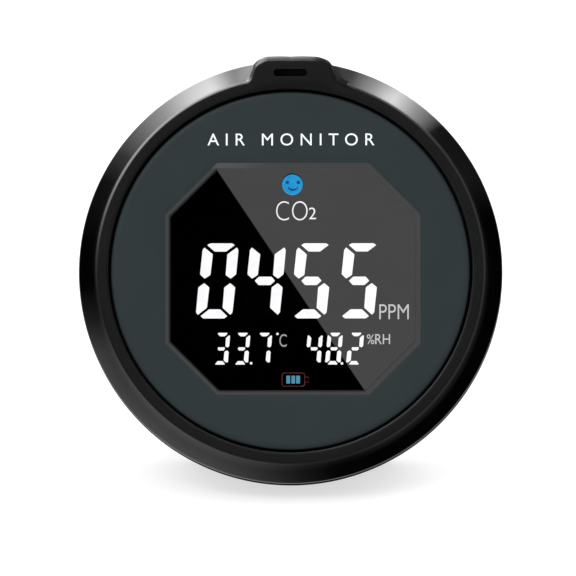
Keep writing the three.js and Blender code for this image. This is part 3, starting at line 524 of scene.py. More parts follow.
BOARD_COPPER = (0.75, 0.55, 0.25, 1)
M = {
    # bezel
    "rim": plastic("rim_gloss_black", (0.0006, 0.0006, 0.0006, 1), rough=0.07, vary=0.2,
                   ripple=0.004, bevel=0.00012, rough_vary=0.02, spec=0.52, wear=0.25,
                   wear_color=(0.02, 0.02, 0.021, 1), beside_tab=0.9),
    "ring": plastic("ring_satin_black", (0.0032, 0.0032, 0.0034, 1), rough=0.38, vary=0.08,
                    grain=0.10, grain_scale=4200, bevel=0.00012, spec=0.2),
    "tab": plastic("tab_satin_black", (0.0072, 0.0072, 0.0074, 1), rough=0.36, vary=0.08,
                   grain=0.10, grain_scale=4200, bevel=0.00012, rough_vary=0.04,
                   tab_fade=0.4),
    "tab_root": plastic("tab_root_satin", (0.0055, 0.0055, 0.0058, 1), rough=0.5, vary=0.08,
                        grain=0.10, grain_scale=4200, bevel=0.00012, rough_vary=0.04,
                        spec=0.24, tab_fade=2.2),
    "ring_edge": plastic("ring_edge_polished", (0.003, 0.003, 0.0032, 1), rough=0.17,
                         vary=0.08, grain=0.03, grain_scale=4200, bevel=0, rough_vary=0.02,
                         spec=0.45, beside_tab=0.9),
    "groove": plastic("groove_black", (0.001, 0.001, 0.001, 1), rough=0.6, bevel=0,
                      spec=0.1),
    # face, cover, stand and small parts outside
    "plate": plastic("plate_slate", (0.0215, 0.0293, 0.0315, 1), rough=0.46, vary=0.03,
                     grain=0.14, grain_scale=3600, ripple=0.002, bevel=0, spec=0.06),
    # slope round the window: its light and shade are painted in as emission
    "plate_edge": window_edge_painted_light("plate_edge_painted_reflection"),
    # cover and stand carry a painted sheen (reflection given out as emission) over their own
    # colour
    "cover": plastic("cover_spark_texture", (0.010, 0.0102, 0.0108, 1), rough=0.48,
                     grain=0.55, grain_scale=2600, bevel=0.00022, wear=0.35,
                     wear_color=(0.045, 0.046, 0.048, 1), rough_vary=0.07, spec=0.3,
                     specks=0.15, painted_sheen=1.0),
    "stand": plastic("stand_fine_texture", (0.0115, 0.0118, 0.0124, 1), rough=0.42,
                     grain=0.4, grain_scale=3000, bevel=0.00022, wear=0.45,
                     wear_color=(0.05, 0.051, 0.053, 1), rough_vary=0.07, spec=0.3,
                     painted_sheen=1.0),
    "button": plastic("button_satin", (0.016, 0.0165, 0.0175, 1), rough=0.34, vary=0.08,
                      grain=0.12, grain_scale=4200, bevel=0.00015, wear=0.3),
    "rubber": plastic("pad_rubber", (0.012, 0.012, 0.012, 1), rough=0.78, vary=0.15,
                      grain=0.6, grain_scale=2200, rough_vary=0.06, spec=0.3, specks=0.2),
    # lens: its reflection is painted in as emission
    "lens": lens_painted_reflection("lens_smoked_painted_reflection"),
    # display
    "mask": plastic("mask_film_black", (0.0002, 0.0002, 0.0002, 1), rough=0.9, bevel=0,
                    spec=0.0, vary=0.2),
    "unlit": plastic("segment_unlit", (0.0004, 0.0004, 0.0004, 1), rough=0.9, bevel=0,
                     spec=0.0, vary=0.05),
    "white": glow("segment_lit", (1, 1, 1, 1), strength=1.05),
    "legend": glow("legend_lit", (1, 1, 1, 1), strength=0.95),
    "legend_grey": glow("legend_lit_grey", (0.86, 0.86, 0.87, 1), strength=0.62),
    "legend_dim": glow("legend_lit_dim", (0.86, 0.86, 0.87, 1), strength=0.40),
    "print": plastic("print_white", (0.78, 0.80, 0.82, 1), rough=0.5, bevel=0, vary=0.05,
                     grain=0.05),
    "smiley": glow("icon_blue_lit", (0.004, 0.31, 0.64, 1), strength=1.0, vary=0.12),
    "smiley_dark": glow("icon_blue_dark", (0.0, 0.055, 0.24, 1), strength=1.0),
    "battery": glow("battery_bar_lit", (0.07, 0.28, 0.40, 1), strength=1.0, vary=0.08),
    "battery_case": glow("battery_outline_dim", (0.06, 0.002, 0.005, 1), strength=1.0,
                         vary=0.3),
    "diffuser": plastic("diffuser_film", (0.35, 0.36, 0.36, 1), rough=0.6, bevel=0,
                        vary=0.04, grain=0.1),
    "reflector": plastic("reflector_white", (0.8, 0.8, 0.78, 1), rough=0.5, bevel=0.0001,
                         vary=0.03, grain=0.1),
    # parts inside
    "tape": plastic("tape_foam", (0.7, 0.68, 0.62, 1), rough=0.85, bevel=0, vary=0.06,
                    grain=0.6, grain_scale=3500),
    "led_board": board("board_white", mask=(0.75, 0.75, 0.7, 1), copper=(0.7, 0.5, 0.25, 1)),
    "board": board("board_green", mask=(0.012, 0.10, 0.045, 1), copper=BOARD_COPPER),
    "board_blue": board("board_blue", mask=(0.012, 0.06, 0.17, 1), copper=BOARD_COPPER),
    "chip": plastic("chip_epoxy", (0.012, 0.012, 0.013, 1), rough=0.5, grain=0.4,
                    bevel=0.0001),
    "nylon": plastic("nylon_black", (0.009, 0.009, 0.009, 1), rough=0.5, grain=0.2,
                     bevel=0.0001),
    "ferrite": plastic("ferrite_grey", (0.045, 0.045, 0.048, 1), rough=0.7, grain=0.7,
                       grain_scale=2800, bevel=0.0001),
    "ceramic": plastic("sensor_white", (0.68, 0.68, 0.66, 1), rough=0.4, grain=0.1,
                       bevel=0.0001),
    "gold": metal("chamber_gold", (0.85, 0.62, 0.26, 1), rough=0.25),
    "membrane": plastic("membrane_white", (0.8, 0.8, 0.78, 1), rough=0.85, grain=0.8,
                        grain_scale=4000, bevel=0),
    "foil": metal("cell_foil", (0.72, 0.73, 0.75, 1), rough=0.34, stretch=(1, 1, 6)),
    "ivory": plastic("ivory_nylon", (0.78, 0.74, 0.64, 1), rough=0.5, grain=0.15,
                     bevel=0.0001),
    "wire_red": plastic("wire_red", (0.40, 0.008, 0.008, 1), rough=0.45, grain=0.2, bevel=0),
    "wire_black": plastic("wire_black", (0.008, 0.008, 0.008, 1), rough=0.45, grain=0.2,
                          bevel=0),
    "nickel": metal("nickel", (0.66, 0.66, 0.67, 1), rough=0.22, stretch=(6, 1, 1)),
    "screw": metal("screw_steel", (0.42, 0.42, 0.44, 1), rough=0.3),
    "mesh": weave("mesh_weave", (0.05, 0.051, 0.054, 1)),
}


# ------------------------------------------------------------- mesh building
def new_object(name, verts, faces, mats=(), index=None):
    mesh = bpy.data.meshes.new(name)
    mesh.from_pydata([tuple(map(float, v)) for v in verts], [],
                     [tuple(int(i) for i in f) for f in faces])
    for mat in mats:
        mesh.materials.append(mat)
    if index is not None:
        mesh.polygons.foreach_set("material_index", np.array(index, np.int32))
    mesh.update()
    obj = bpy.data.objects.new(name, mesh)
    bpy.context.scene.collection.objects.link(obj)
    return obj


def outward(obj):
    """Merge double points and turn all faces outwards."""
    bm = bmesh.new()
    bm.from_mesh(obj.data)
    bmesh.ops.remove_doubles(bm, verts=bm.verts, dist=1e-5)
    bmesh.ops.recalc_face_normals(bm, faces=bm.faces)
    if bm.calc_volume(signed=True) < 0:
        bmesh.ops.reverse_faces(bm, faces=bm.faces)
    bm.to_mesh(obj.data)
    bm.free()
    return obj


def set_material(obj, mat):
    obj.data.materials.clear()
    obj.data.materials.append(mat)


def place(obj, replaces=(), sharp=32, matrix=CASE, body="case"):
    """Put a piece built in millimetres into the world and let it ride on its body."""
    outward(obj)
    obj.data.transform(matrix)
    obj.data.shade_smooth()
    obj.data.set_sharp_from_angle(angle=math.radians(sharp))
    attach(obj, body)
    if replaces:
        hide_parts(*replaces)


def grid(name, rows, mats=(), index=None, close_rows=True, caps=False):
    """Quads between rows of points; each row is a closed loop. The last row joins the
    first (a ring-shaped solid), or the ends stay open or get flat caps."""
    rows = [np.asarray(row, float) for row in rows]
    around = len(rows[0])
    count = len(rows)
    verts = np.concatenate(rows).tolist()
    faces, slots = [], []
    for i in range(count if close_rows else count - 1):
        j = (i + 1) % count
        for a in range(around):
            b = (a + 1) % around
            faces.append((i * around + a, i * around + b, j * around + b, j * around + a))
            slots.append(index[i] if index is not None else 0)
    for i in (0, count - 1) if caps else ():
        centre = len(verts)
        verts.append(list(rows[i].mean(0)))
        for a in range(around):
            b = (a + 1) % around
            faces.append((centre, i * around + a, i * around + b) if i else (centre, b, a))
            slots.append(0)
    return new_object(name, verts, faces, mats, slots)


def ring_points(angles, r, y):
    """Loop at radius r and depth y, angle 0 at the top, clockwise from the front."""
    r = np.broadcast_to(r, angles.shape)
    y = np.broadcast_to(y, angles.shape)
    return np.stack([r * np.sin(angles), y, r * np.cos(angles)], 1)


def lathe(profile, around, name="tool"):
    """Turned about the case axis from [radius, y] points; ends on the axis or closes."""
    angles = np.linspace(0, 2 * math.pi, around, endpoint=False)
    ends = profile[0][0] < 1e-6 and profile[-1][0] < 1e-6
    loops = profile[1:-1] if ends else profile
    obj = grid(name, [ring_points(angles, r, y) for r, y in loops], close_rows=not ends)
    if ends:
        verts = [tuple(v.co) for v in obj.data.vertices]
        faces = [tuple(p.vertices) for p in obj.data.polygons]
        first = len(verts)
        verts += [(0, profile[0][1], 0), (0, profile[-1][1], 0)]
        last = (len(loops) - 1) * around
        for i in range(around):
            j = (i + 1) % around
            faces.append((first, j, i))
            faces.append((first + 1, last + i, last + j))
        bpy.data.objects.remove(obj)
        obj = new_object(name, verts, faces)
    return outward(obj)


def prism(outline, lo, hi, axis="Y", name="tool"):
    """Outline extruded along Y (outline in X, Z) or X (outline in Y, Z)."""
    points = np.asarray(outline, float)
    count = len(points)

    def at(depth):
        depths = np.full(count, float(depth))
        first, second = points[:, 0], points[:, 1]
        return np.stack([first, depths, second] if axis == "Y" else [depths, first, second], 1)

    verts = np.concatenate([at(lo), at(hi)])
    faces = [(i, (i + 1) % count, count + (i + 1) % count, count + i) for i in range(count)]
    faces += [tuple(range(count - 1, -1, -1)), tuple(range(count, 2 * count))]
    return outward(new_object(name, verts, faces))


def circle(cx, cz, r, n=48):
    angles = np.linspace(0, 2 * math.pi, n, endpoint=False)
    return np.stack([cx + r * np.cos(angles), cz + r * np.sin(angles)], 1)


def cylinder(cx, cz, r, lo, hi, axis="Y", n=48):
    return prism(circle(cx, cz, r, n), lo, hi, axis)


def block(x0, x1, y0, y1, z0, z1):
    return prism([(x0, z0), (x1, z0), (x1, z1), (x0, z1)], y0, y1)


def round_rect(cx, cz, half_w, half_h, r, steps=10):
    out = []
    for sx, sz, start in ((1, -1, -90), (1, 1, 0), (-1, 1, 90), (-1, -1, 180)):
        for i in range(steps + 1):
            angle = math.radians(start + 90 * i / steps)
            out.append((cx + sx * (half_w - r) + r * math.cos(angle),
                        cz + sz * (half_h - r) + r * math.sin(angle)))
    return out


def csg(obj, operation, *tools):
    """Join, cut or keep the common part, with exact closed results."""
    for tool in tools:
        modifier = obj.modifiers.new("b", "BOOLEAN")
        modifier.operation = operation
        modifier.object = tool
        modifier.solver = "MANIFOLD"
        depsgraph = bpy.context.evaluated_depsgraph_get()
        mesh = bpy.data.meshes.new_from_object(obj.evaluated_get(depsgraph))
        obj.modifiers.clear()
        obj.data = mesh
        bpy.data.objects.remove(tool)
    return obj


def soften(outline, cut, steps=4):
    """Round each corner of a closed outline with a short curve."""
    points = np.asarray(outline, float)
    out = []
    for i, corner in enumerate(points):
        before, after = points[i - 1], points[(i + 1) % len(points)]
        len_a, len_b = np.linalg.norm(before - corner), np.linalg.norm(after - corner)
        start = corner + (before - corner) / len_a * min(cut, 0.45 * len_a)
        end = corner + (after - corner) / len_b * min(cut, 0.45 * len_b)
        for k in range(steps + 1):
            t = k / steps
            out.append((1 - t) ** 2 * start + 2 * t * (1 - t) * corner + t * t * end)
    return np.array(out)


def slabs(name, outlines, front, back, mat, soft):
    """Many small flat-topped bodies in one piece, each with a softened front edge."""
    verts, faces = [], []
    for outline in outlines:
        points = np.asarray(outline, float)
        following = np.roll(points, -1, 0)
        area = 0.5 * np.sum(points[:, 0] * following[:, 1] - following[:, 0] * points[:, 1])
        if area < 0:
            points = points[::-1]
        n = len(points)
        tangent = np.roll(points, -1, 0) - np.roll(points, 1, 0)
        tangent /= np.linalg.norm(tangent, axis=1)[:, None] + 1e-12
        outwards = np.stack([tangent[:, 1], -tangent[:, 0]], 1)
        base = len(verts)
        for loop, y in ((points - outwards * soft, front), (points, front + soft),
                        (points, back)):
            verts += [(x, y, z) for x, z in loop]
        for i in (base, base + n):
            for a in range(n):
                b = (a + 1) % n
                faces.append((i + a, i + b, i + n + b, i + n + a))
        faces.append(tuple(base + a for a in range(n - 1, -1, -1)))
        faces.append(tuple(base + 2 * n + a for a in range(n)))
    return new_object(name, verts, faces, [mat])


# ------------------------------------------------------------------ the bezel
def smax(a, b, k):
    """Larger of a and b, blended over k."""
    h = np.clip(0.5 + 0.5 * (a - b) / k, 0, 1)
    return b * (1 - h) + a * h + k * h * (1 - h)


def spline(points, steps=14):
    """Smooth curve through the points."""
    p = np.asarray(points, float)
    p = np.vstack([2 * p[0] - p[1], p, 2 * p[-1] - p[-2]])
    out = []
    for i in range(1, len(p) - 2):
        for t in np.linspace(0, 1, steps, endpoint=False):
            a, b, c, d = p[i - 1], p[i], p[i + 1], p[i + 2]
            out.append(0.5 * (2 * b + (c - a) * t + (2 * a - 5 * b + 4 * c - d) * t ** 2
                              + (3 * b - a - 3 * c + d) * t ** 3))
    out.append(p[-2])
    return np.array(out)


# Outline of the tab from its middle outwards: distance from the middle, z
TAB_RIGHT = np.vstack([
    [(0.0, 40.56), (4.4, 40.56)],
    spline([(4.6, 40.56), (5.2, 40.49), (5.7, 40.34), (6.35, 40.14), (6.8, 39.95),
            (7.15, 39.75), (7.4, 39.55), (7.6, 39.3), (7.78, 38.95), (7.98, 38.4),
            (8.2, 37.8), (8.42, 37.2), (8.85, 36.5), (9.7, 35.75), (11.0, 35.0),
            (12.6, 34.0)]),
])
TAB_LEFT = np.vstack([
    [(0.0, 40.56), (4.1, 40.56)],
    spline([(4.3, 40.56), (4.9, 40.42), (5.45, 40.2), (6.0, 39.93), (6.42, 39.62),
            (6.75, 39.25), (7.0, 38.7), (7.2, 38.0), (7.42, 37.3), (7.8, 36.6),
            (8.4, 35.95), (9.5, 35.3), (11.0, 34.6), (12.6, 33.6)]),
])
TAB_CHAMFER = 1.06
TAB_BLEND = 0.7
TAB_BACK = -7.3  # from here back the tab draws in


def bezel_profile():
    """Soft edge, slightly full slope, rounded outer corner, side wall: radius, y."""
    corner, ease = np.array([36.55, RING_Y]), 0.62
    end = np.array([39.84, -9.85])
    along = (end - corner) / np.linalg.norm(end - corner)
    a, b = corner + [-ease, 0], corner + along * ease
    u = np.linspace(0, 1, 9)[:, None]
    arc = (1 - u) ** 2 * a + 2 * u * (1 - u) * corner + u * u * b
    v = np.linspace(0, 1, 12)[1:, None]
    outwards = np.array([along[1], -along[0]])
    slope = b + (end - b) * v + outwards * 0.13 * 4 * v * (1 - v)
    outer_corner = [(39.93, -9.62), (39.985, -9.4), (RIM_R, -9.15)]
    wall = [(RIM_R, y) for y in (-8.4, -7.4, -6.52, -6.5, -5.5, -3.35)]
    wall += [(39.93, -3.2), (39.8, -3.08), (39.65, -3.0)]
    return np.vstack([arc, slope, outer_corner, wall])


BEZEL = bezel_profile()
RIM, RING, GROOVE, TAB, TAB_ROOT, RING_EDGE = range(6)
BEZEL_LOOKS = ("rim", "ring", "groove", "tab", "tab_root", "ring_edge")


def bezel_radius(y):
    return np.interp(y, BEZEL[:, 1], BEZEL[:, 0])


def tab_reach(angle):
    """Radius of the tab outline at an angle from the top, positive to the right."""
    left, right = (
        np.interp(np.abs(angle), np.arctan2(line[:, 0], line[:, 1]),
                  np.hypot(line[:, 0], line[:, 1]), right=20.0)
        for line in (TAB_LEFT, TAB_RIGHT))
    return np.where(angle < 0, left, right)


def bezel_rows():
    """Loops of the bezel shell with the material slot of the band after each."""
    fine = np.radians(np.arange(-19, 19, 0.16))
    rest = np.radians(np.arange(19, 341, 0.9))
    angles = np.concatenate([fine, rest])
    signed = (angles + math.pi) % (2 * math.pi) - math.pi
    tab = tab_reach(signed)
    rows, slots = [], []

    def row(r, y, slot):
        rows.append(ring_points(angles, r, y))
        slots.append(slot)

    # lip round the face plate: radius, y, slot
    for r, y, slot in ((34.27, -11.8, GROOVE), (34.27, -13.3, GROOVE), (34.27, -13.6, RING),
                       (34.31, -13.8, RING), (34.40, -13.93, RING), (34.54, RING_Y, RING)):
        row(r, y, slot)
    front = smax(np.full_like(angles, BEZEL[0, 0]), tab - TAB_CHAMFER, TAB_BLEND)
    for u in (0.33, 0.66):
        row(34.54 + (front - 34.54) * u, RING_Y, RING)
    # outside, with extra loops where the tab turns
    extra = np.array([-13.7, -13.5, -13.3, -13.15, -13.08, -12.9, -7.3, -7.1, -6.9, -6.7])
    for y in np.unique(np.round(np.concatenate([BEZEL[:, 1], extra]), 4)):
        ring = bezel_radius(y) if y > RING_Y else BEZEL[0, 0]
        behind = y - RING_Y
        cut = 0.0
        if behind < TAB_CHAMFER:
            arc = 1 - math.sqrt(max(0.0, 1 - (1 - behind / TAB_CHAMFER) ** 2))
            cut = TAB_CHAMFER * arc * 0.35 + (TAB_CHAMFER - behind) * 0.65
        if y > TAB_BACK:
            cut = y - TAB_BACK
        r = np.full_like(angles, ring)
        if y <= -6.5:
            r = smax(r, tab - cut, TAB_BLEND)
        row(r, y, RIM if y > -13.62 else (RING_EDGE if y > -13.995 else RING))
    # inside, thicker behind the tab
    at_tab = np.abs(signed) < math.radians(13.5)
    inner = np.where(at_tab, 34.7, 37.4)
    row(37.4, -3.0, GROOVE)
    row(37.4, -6.3, GROOVE)
    row(inner, np.where(at_tab, -6.4, -8.2), GROOVE)
    row(inner, -10.2, GROOVE)
    row(30.0, -10.2, GROOVE)
    row(30.0, -11.8, GROOVE)
    return rows, slots


def paint_tab(obj):
    """Give the tab and its shoulders their own satin."""
    for face in obj.data.polygons:
        x, y, z = face.center
        angle = math.atan2(x, z)
        if abs(math.degrees(angle)) < 16.5 and face.material_index == RIM:
            proud = math.hypot(x, z) - bezel_radius(y)
            if proud > 0.01:
                face.material_index = TAB if proud > 0.9 else TAB_ROOT
        gap = (tab_reach(angle) - max(0.0, TAB_CHAMFER - (y - RING_Y)) - bezel_radius(y))
        if x > 0:
            limit = -0.74
        else:
            limit = -0.3 if face.material_index == RING_EDGE else 0.0
        if face.material_index in (RIM, RING_EDGE) and gap > limit:
            face.material_index = TAB_ROOT


def build_bezel():
    rows, slots = bezel_rows()
    obj = grid("front_bezel_shell", rows, [M[look] for look in BEZEL_LOOKS], slots)
    outward(obj)
    paint_tab(obj)
    slot = prism(round_rect(0, 37.38, 3.15, 0.7, 0.66), -15, -9.5)
    channel = block(-3.15, 3.15, -11.3, -9.5, 36.9, 43)
    for tool in (slot, channel):
        for _ in BEZEL_LOOKS:  # as many slots as the bezel, so that cut faces are groove
            tool.data.materials.append(M["groove"])
    csg(obj, "DIFFERENCE", slot, channel)
    for x, z in POSTS:
        csg(obj, "UNION", cylinder(x, z, 2.6, -11, -4.3))
        csg(obj, "DIFFERENCE", cylinder(x, z, 1.05, -10.6, -3, n=32))
    place(obj, ["front_bezel"], sharp=28)


# ------------------------------------------------------- plate and window ring
def window_t(angles, inset, blend=0.25):
    """Distance from the window centre to the octagon, corners very slightly eased."""
    toward = np.stack([np.sin(angles), np.cos(angles)], 1)
    s = math.sqrt(0.5)
    sides = [(1, 0, WINDOW_HALF_W), (-1, 0, WINDOW_HALF_W),
             (0, 1, WINDOW_HALF_H), (0, -1, WINDOW_HALF_H)]
    sides += [(a * s, b * s, (WINDOW_HALF_W + WINDOW_HALF_H - WINDOW_CUT) * s)
              for a in (1, -1) for b in (1, -1)]
    out = np.full(len(angles), 1e3)
    for nx, nz, reach in sides:
        facing = toward[:, 0] * nx + toward[:, 1] * nz
        t = np.where(facing > 1e-3, (reach - inset) / np.maximum(facing, 1e-3), 1e3)
        out = -smax(-out, -np.minimum(t, 200), blend)
    return out


def window_angles():
    """Even steps with a close group at each corner."""
    base = np.linspace(0, 2 * math.pi, 480, endpoint=False)
    extra = []
    w, h, cut = WINDOW_HALF_W, WINDOW_HALF_H, WINDOW_CUT
    for x, z in ((w - cut, h), (w, h - cut), (w, -h + cut), (w - cut, -h)):
        for sx in (1, -1):
            corner = math.atan2(sx * x, z)
            extra += list(corner + np.radians(np.linspace(-1.6, 1.6, 17)))
    angles = np.concatenate([base, np.array(extra) % (2 * math.pi)])
    angles = np.unique(np.round(angles, 6))
    return angles[:-1] if abs(angles[-1] - 2 * math.pi) < 1e-6 else angles


def window_points(angles, t, y):
    return np.stack([WINDOW_X + t * np.sin(angles), np.broadcast_to(float(y), angles.shape),
                     WINDOW_Z + t * np.cos(angles)], 1)


def circle_t(angles, r):
    """Distance from the window centre to a circle about the case axis."""
    along = np.sin(angles) * WINDOW_X + np.cos(angles) * WINDOW_Z
    return -along + np.sqrt(along * along - (WINDOW_X ** 2 + WINDOW_Z ** 2) + r * r)


def build_plate():
    body, edge = 0, 1
    back = -12.1
    soft, soft_depth = 1.3, 0.6  # rounding of the outer edge, along the face and in depth
    angles = window_angles()
    rows, slots = [], []

    def row(t, y, slot):
        rows.append(window_points(angles, t, y))
        slots.append(slot)

    row(circle_t(angles, PLATE_R), back, body)
    row(circle_t(angles, PLATE_R), -13.0, body)
    for i in range(1, 11):
        turn = math.radians(90 * i / 10)
        row(circle_t(angles, PLATE_R - soft + soft * math.cos(turn)),
            PLATE_Y + soft_depth - soft_depth * math.sin(turn), body)
    outer, inner = circle_t(angles, PLATE_R - soft), window_t(angles, -0.05)
    for u in (0.2, 0.5, 0.8):
        row(outer + (inner - outer) * u, PLATE_Y, body)
    # slope into the window: inset, y, slot
    for inset, y, slot in ((-0.05, PLATE_Y, edge), (0.03, PLATE_Y + 0.025, edge),
                           (0.85, PLATE_Y + 0.58, edge), (0.9, PLATE_Y + 0.65, body),
                           (0.9, back, body)):
        row(window_t(angles, inset), y, slot)
    # the slope into the window takes the material with painted light
    obj = grid("face_plate_shell", rows, [M["plate"], M["plate_edge"]], slots)
    place(obj, ["face_plate"], sharp=30)


# Lens section from the front face over the flange to the back: inset, y
LENS_SECTION = [(6.0, LENS_Y), (1.08, LENS_Y), (1.0, LENS_Y), (0.95, -13.04), (0.93, -12.95),
                (0.93, -11.98), (-1.2, -11.98), (-1.2, -11.45), (6.0, -11.45)]


def build_lens():
    angles = window_angles()
    rows = [window_points(angles, window_t(angles, inset), y) for inset, y in LENS_SECTION]
    obj = grid("window_lens_shell", rows, [M["lens"]], close_rows=False, caps=True)
    place(obj, ["window_lens"], sharp=10)


# ------------------------------------------------------------------- display
def flip(outline):
    return [(-x, z) for x, z in outline][::-1]


def segments(upper, lower, top, middle, bottom):
    """Seven segments from the left upright pair and the left ends of the three bars."""
    return dict(f=upper, b=flip(upper), e=lower, c=flip(lower), a=top + flip(top),
                g=middle + flip(middle), d=bottom + flip(bottom))


# Outlines about the middle of a digit, before slanting: x, z
BIG = segments(
    upper=[(-3.384, 5.863), (-3.068, 6.363), (-1.365, 5.073), (-1.44, 1.145),
           (-2.453, 0.46), (-3.402, 1.277)],
    lower=[(-3.448, -5.921), (-3.071, -6.382), (-1.481, -5.047), (-1.405, -1.204),
           (-2.448, -0.391), (-3.486, -1.187)],
    top=[(-1.085, 5.575), (-2.614, 6.814), (-2.064, 7.133)],
    middle=[(-1.111, -0.764), (-1.92, 0.058), (-1.198, 0.821)],
    bottom=[(-1.056, -5.327), (-2.544, -6.618), (-1.977, -7.064)])
SMALL = segments(
    upper=[(-1.43, 2.48), (-1.21, 2.56), (-0.70, 2.05), (-0.735, 0.44), (-1.235, 0.275),
           (-1.455, 0.56)],
    lower=[(-1.475, -2.52), (-1.075, -2.575), (-0.63, -2.145), (-0.64, -0.52),
           (-1.065, -0.265), (-1.43, -0.57)],
    top=[(-0.40, 2.365), (-0.88, 2.79), (-0.875, 3.035)],
    middle=[(-0.45, -0.31), (-0.69, 0.0), (-0.605, 0.313)],
    bottom=[(-0.485, -2.29), (-0.92, -2.85), (-0.85, -2.97)])
LIT = {"0": "abcdef", "2": "abged", "3": "abgcd", "4": "fgbc", "5": "afgcd", "7": "abc",
       "8": "abcdefg"}
SMALL_Z = -14.62
# Digit middles in x, their z, segment shapes, slant, corner softening, digits shown
DIGIT_ROWS = [
    ([-13.772, -4.832, 3.943, 12.926], -1.81, BIG, 0.0992, 0.16, "0455"),
    ([-13.035, -9.225, -5.12], SMALL_Z, SMALL, 0.0875, 0.09, "337"),
    ([4.45, 8.20, 12.19], SMALL_Z, SMALL, 0.0875, 0.09, "482"),
]
DECIMAL_POINTS = [(-7.4166, -17.3302), (9.6945, -17.3824)]


def build_digits():
    lit, unlit = [], []
    for middles, cz, shape, slant, cut, digits in DIGIT_ROWS:
        for cx, digit in zip(middles, digits):
            dark = [name for name in "abcdefg" if name not in LIT[digit]]
            for target, names in ((lit, LIT[digit]), (unlit, dark)):
                for name in names:
                    outline = [(cx + x + slant * z, cz + z) for x, z in shape[name]]
                    target.append(soften(outline, cut))
    lit += [circle(x, z, 0.25, 24) for x, z in DECIMAL_POINTS]
    angles = window_angles()
    film = window_points(angles, window_t(angles, 0.7), 0)[:, [0, 2]]
    place(slabs("mask_film", [film], -11.3042, -11.3012, M["mask"], 0.001))
    place(slabs("segments_lit", lit, GLOW_Y, GLOW_BACK, M["white"], 0.03))
    place(slabs("segments_unlit", unlit, -11.31, GLOW_BACK, M["unlit"], 0.02))


def build_smiley():
    """Disc with two eyes and a smile."""
    cx, cz = SMILEY_X, SMILEY_Z
    disc = slabs("smiley_icon", [circle(cx, cz, 1.97, 64)], -11.34, GLOW_BACK, M["smiley"],
                 0.05)
    place(disc, ["smiley_icon_filter"])
    eyes = [circle(cx + dx, cz + 0.45, 0.34, 24) for dx in (-0.94, 1.12)]
    t = np.linspace(math.radians(-148), math.radians(-32), 18)
    back = t[::-1]
    top = np.stack([cx + 0.1 + 1.05 * np.cos(t), cz + 0.08 + 0.86 * np.sin(t)], 1)
    low = np.stack([cx + 0.1 + 1.13 * np.cos(back), cz + 0.10 + 1.26 * np.sin(back)], 1)
    features = slabs("smiley_features", eyes + [np.vstack([top, low])], -11.37, -11.345,
                     M["smiley_dark"], 0.004)
    place(features)


def build_battery():
    """Gauge of three bars in an outline with its contact nub, on a dark backing."""
    cx, cz = 0.545, -20.43
    front, back = -11.345, -11.307
    backing = slabs("battery_backing", [round_rect(cx - 0.01, cz + 0.03, 2.84, 1.4, 0.3, 5)],
                    -11.305, GLOW_BACK, M["unlit"], 0.01)
    place(backing, ["battery_icon_filter"])
    bars = [round_rect(x, cz, half_w, 0.74, 0.1, 4)
            for x, half_w in ((-0.42, 0.36), (0.53, 0.35), (1.44, 0.36))]
    place(slabs("battery_bars", bars, GLOW_Y, -11.306, M["battery"], 0.01))
    outer = round_rect(cx, cz, 2.2, 1.33, 0.5, 8)
    body = prism(outer, front, back, name="battery_outline")
    csg(body, "DIFFERENCE", prism(round_rect(cx, cz, 2.04, 1.17, 0.38, 8), -12, -10))
    nub_x = cx + 2.5
    nub = prism(round_rect(nub_x, cz, 0.52, 0.52, 0.3, 5), front, back)
    csg(nub, "DIFFERENCE", prism(round_rect(nub_x, cz, 0.38, 0.38, 0.2, 5), -12, -10),
        prism(outer, -12, -10))
    csg(body, "UNION", nub)
    set_material(body, M["battery_case"])
    place(body)


def build_text(name, string, box, front, back, mat, weight,
               spread=False):
    """Flat raised lettering fitted into a box (x0, x1, z0, z1) on the face. When spread,
    letters keep their own proportions and the gaps fill the width."""
    x0, x1, z0, z1 = box
    curve = bpy.data.curves.new(name, "FONT")
    curve.body = string
    curve.size = 10
    curve.offset = weight
    curve.resolution_u = 6
    text = bpy.data.objects.new(name, curve)
    bpy.context.scene.collection.objects.link(text)

    def shaped(spacing):
        curve.space_character = spacing
        depsgraph = bpy.context.evaluated_depsgraph_get()
        depsgraph.update()
        mesh = bpy.data.meshes.new_from_object(text.evaluated_get(depsgraph))
        xy = np.array([v.co[:2] for v in mesh.vertices])
        return mesh, float(np.ptp(xy[:, 0]) / np.ptp(xy[:, 1]))

    spacing = 1.0
    if spread:
        tight, loose = shaped(1.0)[1], shaped(2.0)[1]
        spacing = 1 + ((x1 - x0) / (z1 - z0) - tight) / (loose - tight)
    mesh = shaped(spacing)[0]
    bpy.data.objects.remove(text)
    bm = bmesh.new()
    bm.from_mesh(mesh)
    bmesh.ops.remove_doubles(bm, verts=bm.verts, dist=1e-4)
    flat = np.array([v.co[:2] for v in bm.verts])
    lo, hi = flat.min(0), flat.max(0)
    for v in bm.verts:
        across = (v.co.x - lo[0]) / (hi[0] - lo[0])
        rise = (v.co.y - lo[1]) / (hi[1] - lo[1])
        v.co = Vector((x0 + across * (x1 - x0), front, z0 + rise * (z1 - z0)))
    extruded = bmesh.ops.extrude_face_region(bm, geom=list(bm.faces))
    for item in extruded["geom"]:
        if isinstance(item, bmesh.types.BMVert):
            item.co.y = back
    bmesh.ops.recalc_face_normals(bm, faces=bm.faces)
    bm.to_mesh(mesh)
    bm.free()
    mesh.materials.clear()
    mesh.materials.append(mat)
    obj = bpy.data.objects.new(name, mesh)
    bpy.context.scene.collection.objects.link(obj)
    place(obj, sharp=30)


LEGEND_Y, LEGEND_BACK = -11.35, -11.31
